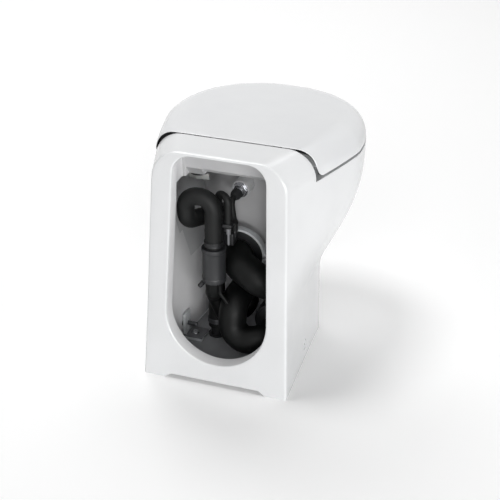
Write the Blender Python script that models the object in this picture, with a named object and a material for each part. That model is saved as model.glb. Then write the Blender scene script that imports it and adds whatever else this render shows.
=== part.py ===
import bmesh
import bpy
import numpy as np
from math import cos, pi, sin, sqrt, tan
from mathutils import Matrix, Vector

# The frame: the back wall of the body faces +Y, the nose faces -Y, up is +Z.
# Places are written as (across, depth, height): across grows to the right of a
# viewer who stands behind the toilet, depth grows from the back foot to the nose.

# Common clearances
gap = 0.0003
fit_gap = 0.0004
running_gap = 0.0006

# Main form of the ceramic body
body_depth = 0.449
rim_half_width = 0.183
spigot_height = 0.200
bowl_rise = 0.172
deck_rise = 0.053
rim_height = spigot_height + bowl_rise
deck_height = rim_height + deck_rise
deck_front = 0.111
back_lean = 0.036
back_half_floor = 0.134
back_half_top = 0.1175
back_edge_radius = 0.005
shoulder_start = 0.005
shoulder_radius = deck_rise - shoulder_start
body_wall = 0.010
rim_thickness = 0.020
deck_wall = 0.0107
back_wall = 0.026
bend_depth_share = 0.4944
bend_depth = body_depth * bend_depth_share

# Rows of the body as shares of the rim's height, the rim's half width and the body's
# depth: height, half width, depth of the widest place, depth of the nose
body_row_shares = [
    (0.0000, 0.6366, 0.5256, 0.6726),
    (0.2957, 0.6339, 0.5256, 0.6726),
    (0.3763, 0.6366, 0.5256, 0.6748),
    (0.4167, 0.6503, 0.5256, 0.6793),
    (0.4570, 0.6831, 0.5256, 0.6882),
    (0.5108, 0.7377, 0.5301, 0.7105),
    (0.5645, 0.7923, 0.5345, 0.7416),
    (0.6183, 0.8443, 0.5390, 0.7795),
    (0.6720, 0.8907, 0.5434, 0.8196),
    (0.7258, 0.9317, 0.5479, 0.8619),
    (0.7796, 0.9628, 0.5523, 0.8998),
    (0.8333, 0.9836, 0.5546, 0.9354),
    (0.8871, 0.9945, 0.5568, 0.9644),
    (0.9409, 0.9989, 0.5568, 0.9844),
    (1.0000, 1.0000, 0.5568, 1.0000),
]
body_rows = [
    (h * rim_height, w * rim_half_width, d * body_depth, n * body_depth)
    for h, w, d, n in body_row_shares
]
body_rows.append((deck_height, *body_rows[-1][1:]))
front_power_floor = 2.7
front_power_rim = 2.2

# Rear service opening and the recess in the back foot
opening_half_floor = 0.0962
opening_half_top = 0.0817
opening_bottom = 0.041
opening_arc_rise = 0.092
opening_arc_height = opening_bottom + opening_arc_rise
opening_top_wall = 0.0055
opening_top = deck_height - opening_top_wall
opening_corner = 0.033
opening_flare_share = 1.15
recess_height = 0.008
recess_half_top = 0.082
recess_half_floor = 0.095

# Hollow under the deck
pocket_half = 0.098
pocket_top = deck_height - deck_wall - gap
pocket_drop = 0.042
pocket_low = rim_height - pocket_drop

# Bowl rows: height as a share from the sump to the rim, depth of the centre and half depth
# as shares of the reach from the spigot's end to the nose, half width as a share of the rim's
bowl_sump_drop = 0.042
bowl_sump = spigot_height - bowl_sump_drop
spigot_end = 0.140
bowl_reach = body_depth - spigot_end
bowl_row_shares = [
    (0.0000, 0.1780, 0.0906, 0.1530),
    (0.0280, 0.1909, 0.1197, 0.1967),
    (0.0841, 0.2201, 0.1521, 0.2404),
    (0.1682, 0.2751, 0.1877, 0.2951),
    (0.2710, 0.3333, 0.2298, 0.3661),
    (0.4299, 0.3948, 0.2848, 0.4809),
    (0.6636, 0.4628, 0.3398, 0.5902),
    (0.8505, 0.4822, 0.3657, 0.6339),
    (1.0000, 0.4854, 0.3722, 0.6448),
]
bowl_rows = []
for rise, centre, deep, wide in bowl_row_shares:
    height = bowl_sump + rise * (rim_height - bowl_sump)
    middle = spigot_end + centre * bowl_reach
    bowl_rows.append((height, middle, deep * bowl_reach, wide * rim_half_width))
bowl_wall = 0.009
bowl_power = 2.1
bowl_over = 0.006

# Outlet spigot and inlet boss on the back of the bowl
spigot_radius = 0.0336
spigot_bore = 0.025
spigot_root_share = 0.1489
spigot_root = spigot_end + bowl_reach * spigot_root_share
inlet_drop = 0.050
inlet_height = rim_height - inlet_drop
boss_end = spigot_end
boss_radius = 0.016
boss_bore = 0.0085
boss_root_share = 0.1942
boss_root = spigot_end + bowl_reach * boss_root_share

# Holes for the hinge bolts and for the side screws
hinge_across = 0.072
hinge_bolt_hole = 0.0055
side_screw_depth = 0.141
side_screw_height = 0.029
side_hole = 0.0105

# Lid
lid_gap = 0.0045
lid_low = rim_height + lid_gap
lid_deck_gap = 0.004
lid_back = deck_front + lid_deck_gap
lid_back_edge = 0.004
lid_back_shoulder = 0.034
lid_blend_long = 0.125
lid_blend_end = lid_back + lid_blend_long
lid_lip = 0.0022
lid_lip_reach = 0.009
lid_lip_start = 0.006
lid_rear_corner = 0.006
lid_drop = 0.011
lid_skirt = 0.007
lid_top_wall = 0.011
lid_low_edge = 0.002
lid_inner_radius = 0.030
lid_edge_corner = 0.002
lid_round_shares = (0.78, 0.93)
hinge_pocket_half = 0.104
hinge_pocket_front = 0.152
hinge_pocket_wall = 0.0047
hinge_pocket_top = deck_height - hinge_pocket_wall

# Seat
seat_gap = 0.0045
seat_low = rim_height + seat_gap
seat_thick = 0.021
seat_top = seat_low + seat_thick
seat_skirt_gap = 0.0042
seat_inset = lid_skirt + seat_skirt_gap
seat_nose_inset = 0.0040
seat_back_gap = 0.047
seat_back = deck_front + seat_back_gap
seat_corner = 0.034
seat_edge = 0.007
seat_hole_shift = 0.002
seat_hole_depth = bowl_rows[-1][1] - seat_hole_shift
seat_over_ends = 0.016
seat_over_sides = 0.010
seat_hole_half_depth = bowl_rows[-1][2] - seat_over_ends
seat_hole_half_width = bowl_rows[-1][3] - seat_over_sides
seat_ear_depth_share = 1.5

# Hinge line shared by the lid and the seat
hinge_back_gap = 0.012
hinge_depth = lid_back + hinge_back_gap
ear_radius = 0.0068
hinge_top_gap = 0.0005
hinge_height = hinge_pocket_top - ear_radius - hinge_top_gap
pin_radius = 0.003
pin_length = 0.0500
pin_head = 0.0044
pin_head_length = 0.0018
ear_width = 0.0120
ear_side_gap = 0.0008
post_width = 0.0150
post_base_radius = 0.0125
post_base_height = 0.0040
bolt_radius = 0.0040
bolt_length = 0.0460
nut_washer_radius = 0.0150
nut_washer_height = 0.0020
wing_hub_radius = 0.0085
wing_hub_height = 0.0110
wing_reach = 0.0190
wing_thick = 0.0040
wing_height = 0.0120
post_neck_share = 1.35
post_socket_share = 0.45

# Rubber feet under the seat and the lid
foot_radius = 0.0090
foot_recess = 0.0025
seat_foot_front_shares = (0.4481, 0.8285)
seat_foot_back_shares = (0.6612, 0.4588)
lid_foot_shares = (0.6885, 0.6682)
lid_foot_radius = 0.0080

# Base plate and brackets
plate_thick = 0.0050
plate_inset = 0.0140
plate_back = 0.033
plate_edge = 0.010
bracket_thick = 0.0050
bracket_foot = 0.0400
bracket_width = 0.0400
bracket_tall = 0.0420
bracket_wall_gap = 0.0006
floor_screw_radius = 0.0038
floor_screw_head = 0.0075
floor_screw_head_height = 0.0035
side_screw_radius = 0.0040
side_screw_head = 0.0075
side_screw_head_height = 0.0040
side_screw_length = 0.0300
cap_radius = 0.0100
cap_thick = 0.0025
cap_rim = 0.0030

# Outlet flange, gasket, clamp and elbow
flange_radius = 0.0440
flange_bore = 0.0270
flange_thick = 0.0050
gasket_thick = 0.0040
gasket_radius = 0.0400
clamp_radius = 0.0485
clamp_thick = 0.0042
clamp_width = 0.0130
clamp_lug = 0.0100
clamp_lug_gap = 0.0030
elbow_radius = 0.0285
elbow_bore = 0.0245
elbow_bend = 0.0290
elbow_start = 0.1302
elbow_turn = 0.1060
elbow_fall = 0.031
elbow_reach = 0.0830
elbow_over = 0.022
elbow_seat = 0.012

# Macerator pump with its motor
pump_across = 0.070
pump_height = 0.080
pump_back = 0.1150
pump_front = 0.1660
pump_radius = 0.0360
pump_wall = 0.0040
pump_inlet_radius = 0.0240
pump_inlet_inset = 0.0010
pump_inlet_depth = pump_back + pump_inlet_radius + pump_inlet_inset
pump_inlet_bore = 0.0200
pump_inlet_top = 0.1330
pump_outlet_across = 0.072
pump_outlet_height = 0.066
pump_outlet_radius = 0.0205
pump_outlet_bore = 0.0170
pump_outlet_back = 0.1055
motor_radius = 0.0310
motor_nose_gap = 0.032
motor_cap_long = 0.010
motor_cap_front = body_rows[0][3] - body_wall - motor_nose_gap
motor_front = motor_cap_front - motor_cap_long
motor_wall = 0.0030
motor_cap_radius = 0.0290
motor_groove = 0.0010
motor_grooves = 3
shaft_radius = 0.0040
shaft_short = 0.006
shaft_front = motor_front - shaft_short
rotor_back = 0.1230
rotor_front = 0.1600
rotor_radius = 0.0290
blade_count = 4
blade_thick = 0.0050
blade_hub = 0.0110
blade_tip_gap = 0.0020
foot_plate_thick = 0.0050
foot_plate_half = 0.0240
foot_depth_shares = (0.226, 0.762)
foot_depths = [pump_front + share * (motor_front - pump_front) for share in foot_depth_shares]
foot_width_share = 0.1905
foot_saddle_width = (motor_front - pump_front) * foot_width_share

elbow_route = [
    (0, elbow_start, spigot_height),
    (0, elbow_turn, spigot_height),
    (pump_across, elbow_reach, spigot_height - elbow_fall),
    (pump_across, pump_inlet_depth, pump_inlet_top + elbow_over),
    (pump_across, pump_inlet_depth, pump_inlet_top - elbow_seat),
]

# Lower bend, riser, check valve and gooseneck
floor_outlet_radius = 0.0115
floor_outlet_bore = 0.0085
floor_outlet_top = 0.0440
floor_outlet_flange = 0.0155
floor_outlet_flange_thick = 0.0040
lower_radius = 0.0252
lower_bore = 0.0208
lower_bend_radius = 0.0295
lower_route = [
    (pump_outlet_across, 0.1140, pump_outlet_height),
    (pump_outlet_across, 0.0740, pump_outlet_height),
    (0.004, 0.0780, 0.053),
    (0.004, 0.0920, 0.122),
    (0.004, 0.1390, 0.122),
]
reducer_lip = 0.0030
reducer_cone = 0.0070
reducer_collar = 0.0080
reducer_seat = 0.0010
reducer_tail = 0.0120
reducer_collar_wall = 0.0025
sleeve_across = -0.024
sleeve_depth = 0.070
sleeve_low = 0.174
sleeve_long = 0.066
sleeve_top = sleeve_low + sleeve_long
riser_turn_drop = 0.024
riser_overlap = 0.026
riser_radius = 0.0155
riser_bore = 0.0120
riser_bend = 0.0200
riser_route = [
    (0.004, 0.1440, 0.122),
    (0.004, 0.1820, 0.122),
    (0.004, 0.1820, 0.060),
    (-0.026, 0.1280, 0.066),
    (-0.047, 0.1255, 0.116),
    (sleeve_across, sleeve_depth, sleeve_low - riser_turn_drop),
    (sleeve_across, sleeve_depth, sleeve_low + riser_overlap),
]
sleeve_radius = 0.0215
sleeve_rib = 0.0008
valve_seat_rise = 0.0280
valve_seat_low = sleeve_low + valve_seat_rise
valve_seat_thick = 0.0030
duckbill_rise = 0.0080
duckbill_top = valve_seat_low + duckbill_rise
neck_radius = 0.0155
neck_bore = 0.0120
neck_bend = 0.0240
neck_rise = 0.0920
neck_top = sleeve_top + neck_rise
neck_hook_drop = 0.0520
neck_leg_drop = 0.0720
neck_leg_share = 0.05825
neck_leg_depth = spigot_end + bowl_reach * neck_leg_share
neck_overlap = 0.0260
outlet_overlap = 0.0180
neck_route = [
    (sleeve_across, sleeve_depth, sleeve_top - neck_overlap),
    (sleeve_across, sleeve_depth, neck_top),
    (-0.0755, 0.0700, neck_top),
    (-0.0755, 0.0740, neck_top - neck_hook_drop),
    (-0.054, neck_leg_depth, neck_top - neck_leg_drop),
    (-0.054, neck_leg_depth, floor_outlet_top - outlet_overlap),
]
band_thick = 0.0012
band_width = 0.0090

# Nipple and drain hose on the check valve
nipple_radius = 0.0033
nipple_drop = 0.0024
nipple_reach = 0.0101
nipple_from = (-0.0410, 0.0610, sleeve_low - nipple_drop)
nipple_to = (-0.0485, 0.0600, sleeve_low - nipple_drop - nipple_reach)
drain_radius = 0.0033
drain_bend = 0.0090
drain_route = [
    (-0.0085, 0.0582, 0.1737),
    (-0.0085, 0.0582, 0.1560),
    (0.0060, 0.0560, 0.1400),
]

# Water inlet
stub_radius = 0.0080
stub_bore = 0.0050
stub_back = 0.1172
stub_front = 0.1620
stub_flange_radius = 0.0120
stub_flange_thick = 0.0030
inlet_washer_radius = 0.0145
inlet_washer_thick = 0.0018
inlet_nut_flat = 0.0125
inlet_nut_thick = 0.0070
boot_radius = 0.0097
boot_gap = 0.0070
boot_cuff = 0.0075
boot_cone = 0.0055
boot_neck = 0.0040
boot_neck_shares = (0.8, 0.65)
boot_bore_share = 0.7
hose_radius = 0.0056
hose_bore = 0.0038
hose_bend = 0.0100
valve_over_spigot = 0.0440
valve_place = (-0.0110, 0.1075, spigot_height + valve_over_spigot)
valve_size = (0.0270, 0.0230, 0.0230)
valve_edge = 0.0020
valve_port_radius = 0.0035
valve_port_rise = 0.0200
valve_port_top = valve_place[2] + valve_port_rise
hose_overlap = 0.0055
hose_low = valve_port_top - hose_overlap
hose_fall_shares = (0.50, 0.29)
hose_falls = [hose_low + share * (inlet_height - hose_low) for share in hose_fall_shares]
hose_route = [
    (0.000, 0.1062, inlet_height),
    (0.000, 0.0930, inlet_height),
    (0.0040, 0.0930, hose_falls[0]),
    (0.0015, 0.1065, hose_falls[1]),
    (0.0015, 0.1065, hose_low),
]
coil_across = -0.0170
coil_radius = 0.0080
coil_height = 0.0500
coil_rib = 0.0009
coil_rib_count = 9
plug_size = (0.0090, 0.0070, 0.0090)
hook_radius = 0.0066
hook_bore = 0.0036
hook_bend = 0.0120
hook_rise = 0.0020
hook_start_drop = 0.0360
hook_port_drop = 0.0300
hook_end_rise = 0.0340
hook_route = [
    (-0.0235, 0.0932, neck_top - hook_start_drop),
    (-0.0235, 0.0932, neck_top + hook_rise),
    (0.0010, 0.0765, neck_top + hook_rise),
    (0.0010, 0.0765, valve_place[2] + hook_end_rise),
]
hook_port_top = neck_top - hook_port_drop
hook_port_radius = 0.0034
clip_width = 0.0170
clip_height = 0.0060
barb_radius = 0.0021
barb_low = valve_place[2]
barb_body = 0.0040
barb_body_rise = 0.0220
barb_body_low = barb_low + barb_body_rise

# Colours: red, green, blue shares
ceramic_colour = (0.86, 0.865, 0.87)
lid_colour = (0.84, 0.845, 0.855)
rubber_colour = (0.045, 0.047, 0.050)
hose_colour = (0.055, 0.057, 0.060)
black_colour = (0.025, 0.026, 0.028)
grey_colour = (0.110, 0.115, 0.120)
steel_colour = (0.62, 0.63, 0.65)
plate_colour = (0.080, 0.083, 0.088)
pale_colour = (0.55, 0.56, 0.58)

# How finely round shapes are drawn
round_steps = 22
small_steps = 12
thin_steps = 8
hose_steps = 12
bend_round_steps = 16
bend_steps = 3
oval_steps = 28
corner_steps = 3
side_steps = 6
front_steps = 10
shoulder_steps = 5
cap_shares = (0.75, 0.5, 0.25, 0.06)


for old in list(bpy.data.objects):
    bpy.data.objects.remove(old, do_unlink=True)

back_y = body_depth / 2


def at(across, depth, height):
    return Vector((-across, back_y - depth, height))


def material(name, colour, rough, metal=0.0):
    made = bpy.data.materials.new(name)
    made.use_nodes = True
    shader = made.node_tree.nodes["Principled BSDF"]
    shader.inputs["Base Color"].default_value = (*colour, 1.0)
    shader.inputs["Roughness"].default_value = rough
    shader.inputs["Metallic"].default_value = metal
    return made


looks = {
    "ceramic": (ceramic_colour, 0.15, 0.0),
    "shell": (lid_colour, 0.25, 0.0),
    "rubber": (rubber_colour, 0.75, 0.0),
    "hose": (hose_colour, 0.6, 0.0),
    "black": (black_colour, 0.5, 0.0),
    "grey": (grey_colour, 0.55, 0.0),
    "pale": (pale_colour, 0.45, 0.0),
    "steel": (steel_colour, 0.3, 1.0),
    "plate": (plate_colour, 0.6, 0.0),
}


def shape(name, points, faces, look=None):
    mesh = bpy.data.meshes.new(name)
    work = bmesh.new()
    made = [work.verts.new(p) for p in points]
    for face in faces:
        work.faces.new([made[i] for i in face])
    bmesh.ops.recalc_face_normals(work, faces=work.faces)
    work.to_mesh(mesh)
    work.free()
    thing = bpy.data.objects.new(name, mesh)
    bpy.context.collection.objects.link(thing)
    if look:
        colour, rough, metal = looks[look]
        mesh.materials.append(material(name, colour, rough, metal))
    return thing


def ring_faces(count, rows, closed):
    faces = []
    spans = rows if closed else rows - 1
    for row in range(spans):
        one = row * count
        two = ((row + 1) % rows) * count
        for i in range(count):
            j = (i + 1) % count
            faces.append((one + i, one + j, two + j, two + i))
    return faces


def loft(name, rings, look=None):
    # Joins rings of equal count and closes both ends with one face.
    count = len(rings[0])
    points = [p for ring in rings for p in ring]
    faces = ring_faces(count, len(rings), False)
    faces.append(tuple(range(count)))
    last = (len(rings) - 1) * count
    faces.append(tuple(range(last, last + count)))
    return shape(name, points, faces, look)


def hoop(name, rings, look=None):
    # Joins rings into a closed loop, as for a pipe wall or a collar.
    points = [p for ring in rings for p in ring]
    return shape(name, points, ring_faces(len(rings[0]), len(rings), True), look)


def cut(thing, tool, kind="DIFFERENCE"):
    tool.hide_render = True
    tool.display_type = "WIRE"
    step = thing.modifiers.new(tool.name, "BOOLEAN")
    step.operation = kind
    step.solver = "EXACT"
    step.object = tool


def across_axes(direction):
    # Two directions square to the given one.
    along = direction.normalized()
    guide = Vector((0, 0, 1))
    if abs(along.dot(guide)) > 0.9:
        guide = Vector((0, 1, 0))
    first = guide.cross(along).normalized()
    return first, along.cross(first)


def circle(centre, first, second, radius, steps):
    turns = [2 * pi * i / steps for i in range(steps)]
    return [centre + first * cos(t) * radius + second * sin(t) * radius for t in turns]


def turned(name, start, direction, profile, look=None, steps=round_steps):
    # profile holds (radius, distance along) and is open between two points of no radius.
    along = direction.normalized()
    first, second = across_axes(along)
    solid = profile[0][0] == 0
    inner = [row for row in profile if row[0] > 0]
    rings = [circle(start + along * far, first, second, r, steps) for r, far in inner]
    if solid:
        return loft(name, rings, look)
    return hoop(name, rings, look)


def rod(name, start, end, radius, look=None, steps=small_steps):
    line = end - start
    if name.startswith("cut_"):
        # A hole's flats, not its corners, lie at the radius.
        radius = radius / cos(pi / steps)
    rows = [(0, 0), (radius, 0), (radius, line.length), (0, line.length)]
    return turned(name, start, line, rows, look, steps)


def tube(name, start, end, outer, inner, look=None, steps=round_steps):
    line = end - start
    far = line.length
    inner = inner / cos(pi / steps)
    rows = [(outer, 0), (outer, far), (inner, far), (inner, 0)]
    return turned(name, start, line, rows, look, steps)


def route_line(places, bend, steps=bend_steps):
    # Straight runs joined by arcs of the given radius, as places with their headings.
    points = [at(*p) for p in places]
    line = [(points[0], (points[1] - points[0]).normalized())]
    for before, corner, after in zip(points, points[1:], points[2:]):
        one = (before - corner).normalized()
        two = (after - corner).normalized()
        half = one.angle(two) / 2
        reach = bend / tan(half)
        centre = corner + (one + two).normalized() * (bend / sin(half))
        begin = corner + one * reach - centre
        finish = corner + two * reach - centre
        sweep = begin.angle(finish)
        for i in range(steps + 1):
            share = i / steps
            mix = begin * sin((1 - share) * sweep) + finish * sin(share * sweep)
            heading = finish * cos(share * sweep) - begin * cos((1 - share) * sweep)
            line.append((centre + mix / sin(sweep), heading.normalized()))
    line.append((points[-1], (points[-1] - points[-2]).normalized()))
    return line


def swept_rings(line, radius, steps):
    rings = []
    first, second = across_axes(line[0][1])
    for place, now in line:
        first = (first - now * first.dot(now)).normalized()
        second = now.cross(first)
        rings.append(circle(place, first, second, radius, steps))
    return rings


def pipe(name, places, bend, outer, inner, look, steps=small_steps):
    line = route_line(places, bend)
    out = swept_rings(line, outer, steps)
    back = swept_rings(line, inner / cos(pi / steps), steps)
    return hoop(name, out + back[::-1], look)


def cord(name, places, bend, radius, look=None, steps=small_steps):
    return loft(name, swept_rings(route_line(places, bend), radius, steps), look)


def block(name, centre, size, look=None, edge=0.0):
    mesh = bpy.data.meshes.new(name)
    work = bmesh.new()
    bmesh.ops.create_cube(work, size=1.0)
    bmesh.ops.scale(work, vec=Vector(size), verts=work.verts)
    bmesh.ops.translate(work, vec=at(*centre), verts=work.verts)
    if edge > 0:
        bmesh.ops.bevel(work, geom=work.edges[:], offset=edge, segments=2, affect="EDGES")
    work.to_mesh(mesh)
    work.free()
    thing = bpy.data.objects.new(name, mesh)
    bpy.context.collection.objects.link(thing)
    if look:
        colour, rough, metal = looks[look]
        mesh.materials.append(material(name, colour, rough, metal))
    return thing


def prism(name, outline, shift, look=None):
    # outline holds points in space, swept along shift.
    return loft(name, [outline, [p + shift for p in outline]], look)


# Plan of the body at any height
def row_at(height):
    table = np.array(body_rows)
    return [float(np.interp(height, table[:, 0], table[:, i])) for i in (1, 2, 3)]


def lean_at(height):
    return back_lean * height / deck_height


def back_half_at(height):
    share = height / deck_height
    return back_half_floor + (back_half_top - back_half_floor) * share


def side_line(height, inset):
    # Depths and half widths of the side between the back edge and the widest place.
    half, widest, nose = row_at(height)
    start = np.array((lean_at(height), back_half_at(height) - inset))
    end = np.array((widest, half - inset))
    corner = np.array((bend_depth, half - inset))
    one = start + (corner - start) * 2 / 3
    two = end + (corner - end) * 2 / 3
    t = np.linspace(0, 1, 60)[:, None]
    line = start * (1 - t) ** 3 + 3 * one * t * (1 - t) ** 2
    line = line + 3 * two * t**2 * (1 - t) + end * t**3
    return line[:, 0], line[:, 1]


def plan(height, inset, rear, corner, nose_inset=None):
    # One closed outline at the given height, drawn from the back's middle.
    half, widest, nose = row_at(height)
    front_inset = inset if nose_inset is None else nose_inset
    depths, halves = side_line(height, inset)
    share = min(max(height / rim_height, 0), 1)
    power = front_power_floor + (front_power_rim - front_power_floor) * share
    turn_start = rear + corner
    side_start = float(np.interp(turn_start, depths, halves))
    flat = side_start - corner
    right = [(flat * s, rear) for s in (0, 1 / 3, 2 / 3)]
    for i in range(corner_steps):
        turn = pi / 2 * i / corner_steps
        right.append((flat + corner * sin(turn), turn_start - corner * cos(turn)))
    for i in range(side_steps):
        depth = turn_start + (widest - turn_start) * i / side_steps
        right.append((float(np.interp(depth, depths, halves)), depth))
    wide = half - inset
    long = nose - front_inset - widest
    for i in range(front_steps + 1):
        turn = pi / 2 * i / front_steps
        side = max(cos(turn), 0) ** (2 / power)
        ahead = sin(turn) ** (2 / power)
        right.append((wide * side, widest + long * ahead))
    right[-1] = (0, widest + long)
    left = [(-a, d) for a, d in right[1:-1]][::-1]
    return right + left


def level_ring(outline, height):
    return [at(a, d, height) for a, d in outline]


def oval(depth, half_depth, half_width, power, steps=oval_steps):
    points = []
    for i in range(steps):
        turn = 2 * pi * i / steps
        a = abs(cos(turn)) ** (2 / power) * half_width
        d = abs(sin(turn)) ** (2 / power) * half_depth
        a = a if cos(turn) >= 0 else -a
        d = d if sin(turn) >= 0 else -d
        points.append((a, depth + d))
    return points


def shoulder(share, radius):
    # Height gained and inset of a quarter round at a share of its turn.
    turn = pi / 2 * share
    return radius * sin(turn), radius * (1 - cos(turn))


# Ceramic body
rings = []
for row in body_rows[:-1]:
    rings.append(level_ring(plan(row[0], 0, lean_at(row[0]), back_edge_radius), row[0]))
shoulder_base = deck_height - shoulder_radius
for i in range(shoulder_steps + 1):
    rise, inset = shoulder(i / shoulder_steps, shoulder_radius)
    height = shoulder_base + rise
    edge_rise = max(height - (deck_height - back_edge_radius), 0)
    back_in = back_edge_radius - sqrt(max(back_edge_radius**2 - edge_rise**2, 0))
    outline = plan(height, inset, lean_at(height) + back_in, back_edge_radius)
    rings.append(level_ring(outline, height))
body = loft("ceramic_body", rings, "ceramic")

far = body_depth * 2
top_room = deck_height - rim_height
front_cut = block(
    "cut_above_rim",
    (0, deck_front + far / 2, rim_height + top_room),
    (far, far, top_room * 2),
)
cut(body, front_cut)

hollow_rings = []
hollow_top = rim_height - rim_thickness
below = -body_wall
heights = [below] + [row[0] for row in body_rows if row[0] < hollow_top - body_wall]
heights.append(hollow_top)
for height in heights:
    level = max(height, 0)
    outline = plan(level, body_wall, lean_at(level) + back_wall, back_edge_radius)
    hollow_rings.append(level_ring(outline, height))
hollow = loft("cut_hollow", hollow_rings)
cut(body, hollow)

pocket_back = lean_at(pocket_low) + back_wall
pocket_front = deck_front - deck_wall
pocket = block(
    "cut_deck_pocket",
    (0, (pocket_back + pocket_front) / 2, (pocket_top + pocket_low) / 2),
    (pocket_half * 2, pocket_front - pocket_back, pocket_top - pocket_low),
    None,
    deck_wall / 3,
)
cut(body, pocket)

outer_rings = []
for height, depth, half_depth, half_width in bowl_rows:
    if height > hollow_top + bowl_wall:
        continue
    low = height - bowl_wall
    grown = oval(depth, half_depth + bowl_wall, half_width + bowl_wall, bowl_power)
    outer_rings.append(level_ring(grown, low))
high, depth, half_depth, half_width = bowl_rows[-1]
grown = oval(depth, half_depth + bowl_wall, half_width + bowl_wall, bowl_power)
outer_rings.append(level_ring(grown, hollow_top + rim_thickness / 2))
bowl_outer = loft("join_bowl", outer_rings)
cut(body, bowl_outer, "UNION")
spigot = rod(
    "join_spigot",
    at(0, spigot_root, spigot_height),
    at(0, spigot_end, spigot_height),
    spigot_radius,
    None,
    round_steps,
)
cut(body, spigot, "UNION")
boss = rod(
    "join_inlet_boss",
    at(0, boss_root, inlet_height),
    at(0, boss_end, inlet_height),
    boss_radius,
    None,
    round_steps,
)
cut(body, boss, "UNION")

inner_rings = []
for height, depth, half_depth, half_width in bowl_rows:
    inner_rings.append(level_ring(oval(depth, half_depth, half_width, bowl_power), height))
high, depth, half_depth, half_width = bowl_rows[-1]
inner_rings.append(level_ring(oval(depth, half_depth, half_width, bowl_power), high + bowl_over))
cut(body, loft("cut_bowl", inner_rings))
spigot_cut = rod(
    "cut_spigot_bore",
    at(0, spigot_root + spigot_bore / 2, spigot_height),
    at(0, spigot_end - bowl_wall, spigot_height),
    spigot_bore,
    None,
    round_steps,
)
cut(body, spigot_cut)
boss_cut = rod(
    "cut_inlet_bore",
    at(0, boss_root, inlet_height),
    at(0, boss_end - bowl_wall, inlet_height),
    boss_bore,
)
cut(body, boss_cut)

arc = []
for i in range(-8, 9):
    turn = pi / 2 * i / 8
    low_half = opening_half_floor + (opening_half_top - opening_half_floor) * (
        opening_arc_height / deck_height
    )
    drop = opening_arc_height - opening_bottom
    arc.append((low_half * sin(turn), opening_arc_height - drop * cos(turn)))
top_half = opening_half_floor + (opening_half_top - opening_half_floor) * (
    (opening_top - opening_corner) / deck_height
)
for side in (1, -1):
    order = range(corner_steps + 2)
    if side < 0:
        order = reversed(order)
    for i in order:
        turn = pi / 2 * i / (corner_steps + 1)
        across = side * (top_half - opening_corner * (1 - cos(turn)))
        arc.append((across, opening_top - opening_corner * (1 - sin(turn))))
outline = [at(a, -back_wall, z) for a, z in arc]
low_plane = [at(a, lean_at(z) + back_wall * opening_flare_share, z) for a, z in arc]
opening_cut = loft("cut_rear_opening", [outline, low_plane])
cut(body, opening_cut)

recess_deep = back_wall * 2
recess = [
    at(-recess_half_floor, -back_wall, -recess_height),
    at(recess_half_floor, -back_wall, -recess_height),
    at(recess_half_floor, -back_wall, 0),
    at(recess_half_top, -back_wall, recess_height),
    at(-recess_half_top, -back_wall, recess_height),
    at(-recess_half_floor, -back_wall, 0),
]
cut(body, prism("cut_foot_recess", recess, Vector((0, -recess_deep - back_wall, 0))))

for side, tag in ((-1, "left"), (1, "right")):
    hole = rod(
        "cut_hinge_hole_" + tag,
        at(side * hinge_across, hinge_depth, rim_height + rim_thickness),
        at(side * hinge_across, hinge_depth, rim_height - rim_thickness * 2),
        hinge_bolt_hole,
    )
    cut(body, hole)
    hole = rod(
        "cut_side_hole_" + tag,
        at(side * back_half_floor * 1.2, side_screw_depth, side_screw_height),
        at(side * back_half_floor * 0.7, side_screw_depth, side_screw_height),
        side_hole,
    )
    cut(body, hole)


# Lid: a crowned shell with a skirt that hides the seat
def crown(point):
    # Lowers the lid's top toward the nose by the same share at every height.
    depth = back_y - point.y
    share = max(depth - lid_back, 0) / (body_depth - lid_back)
    rise = max(point.z - lid_low, 0) / (deck_height - lid_low)
    return Vector((point.x, point.y, point.z - lid_drop * share**2 * rise))


def lid_tuck(height, inset, top, radius):
    # How far a quarter round of this radius draws the side in at a height.
    rise = min(max(height - (top - radius), 0), radius)
    return inset + radius - sqrt(radius**2 - rise**2)


def lid_rings(inset, top, back, back_edge, low, round_radius, back_radius):
    rings = []
    base = top - round_radius
    shares = [i / shoulder_steps for i in range(shoulder_steps + 1)]
    shares.extend(lid_round_shares)
    shares.sort()
    rows = []
    if low < base:
        rows.append((low, inset))
    for share in shares:
        rise, tuck = shoulder(share, round_radius)
        if base + rise > low:
            rows.append((base + rise, tuck + inset))
    for height, tuck in rows:
        edge_rise = max(height - (top - back_edge), 0)
        back_in = back_edge - sqrt(max(back_edge**2 - edge_rise**2, 0))
        # The shoulder is tighter at the seam and eases to the full round.
        front_line = plan(height, tuck, back + back_in, lid_edge_corner)
        back_tuck = lid_tuck(height, inset, top, back_radius)
        back_line = plan(height, back_tuck, back + back_in, lid_edge_corner)
        outline = []
        for (a, d), (b, e) in zip(front_line, back_line):
            ease = min(max((d - back) / (lid_blend_end - back), 0), 1)
            ease = ease * ease * (3 - 2 * ease)
            outline.append((b + (a - b) * ease, e + (d - e) * ease))
        rings.append(level_ring(outline, height))
    middle = (back + body_depth) / 2
    for part in cap_shares:
        inner = [(a * part, middle + (d - middle) * part) for a, d in outline]
        rings.append(level_ring(inner, height))
    return rings


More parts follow.
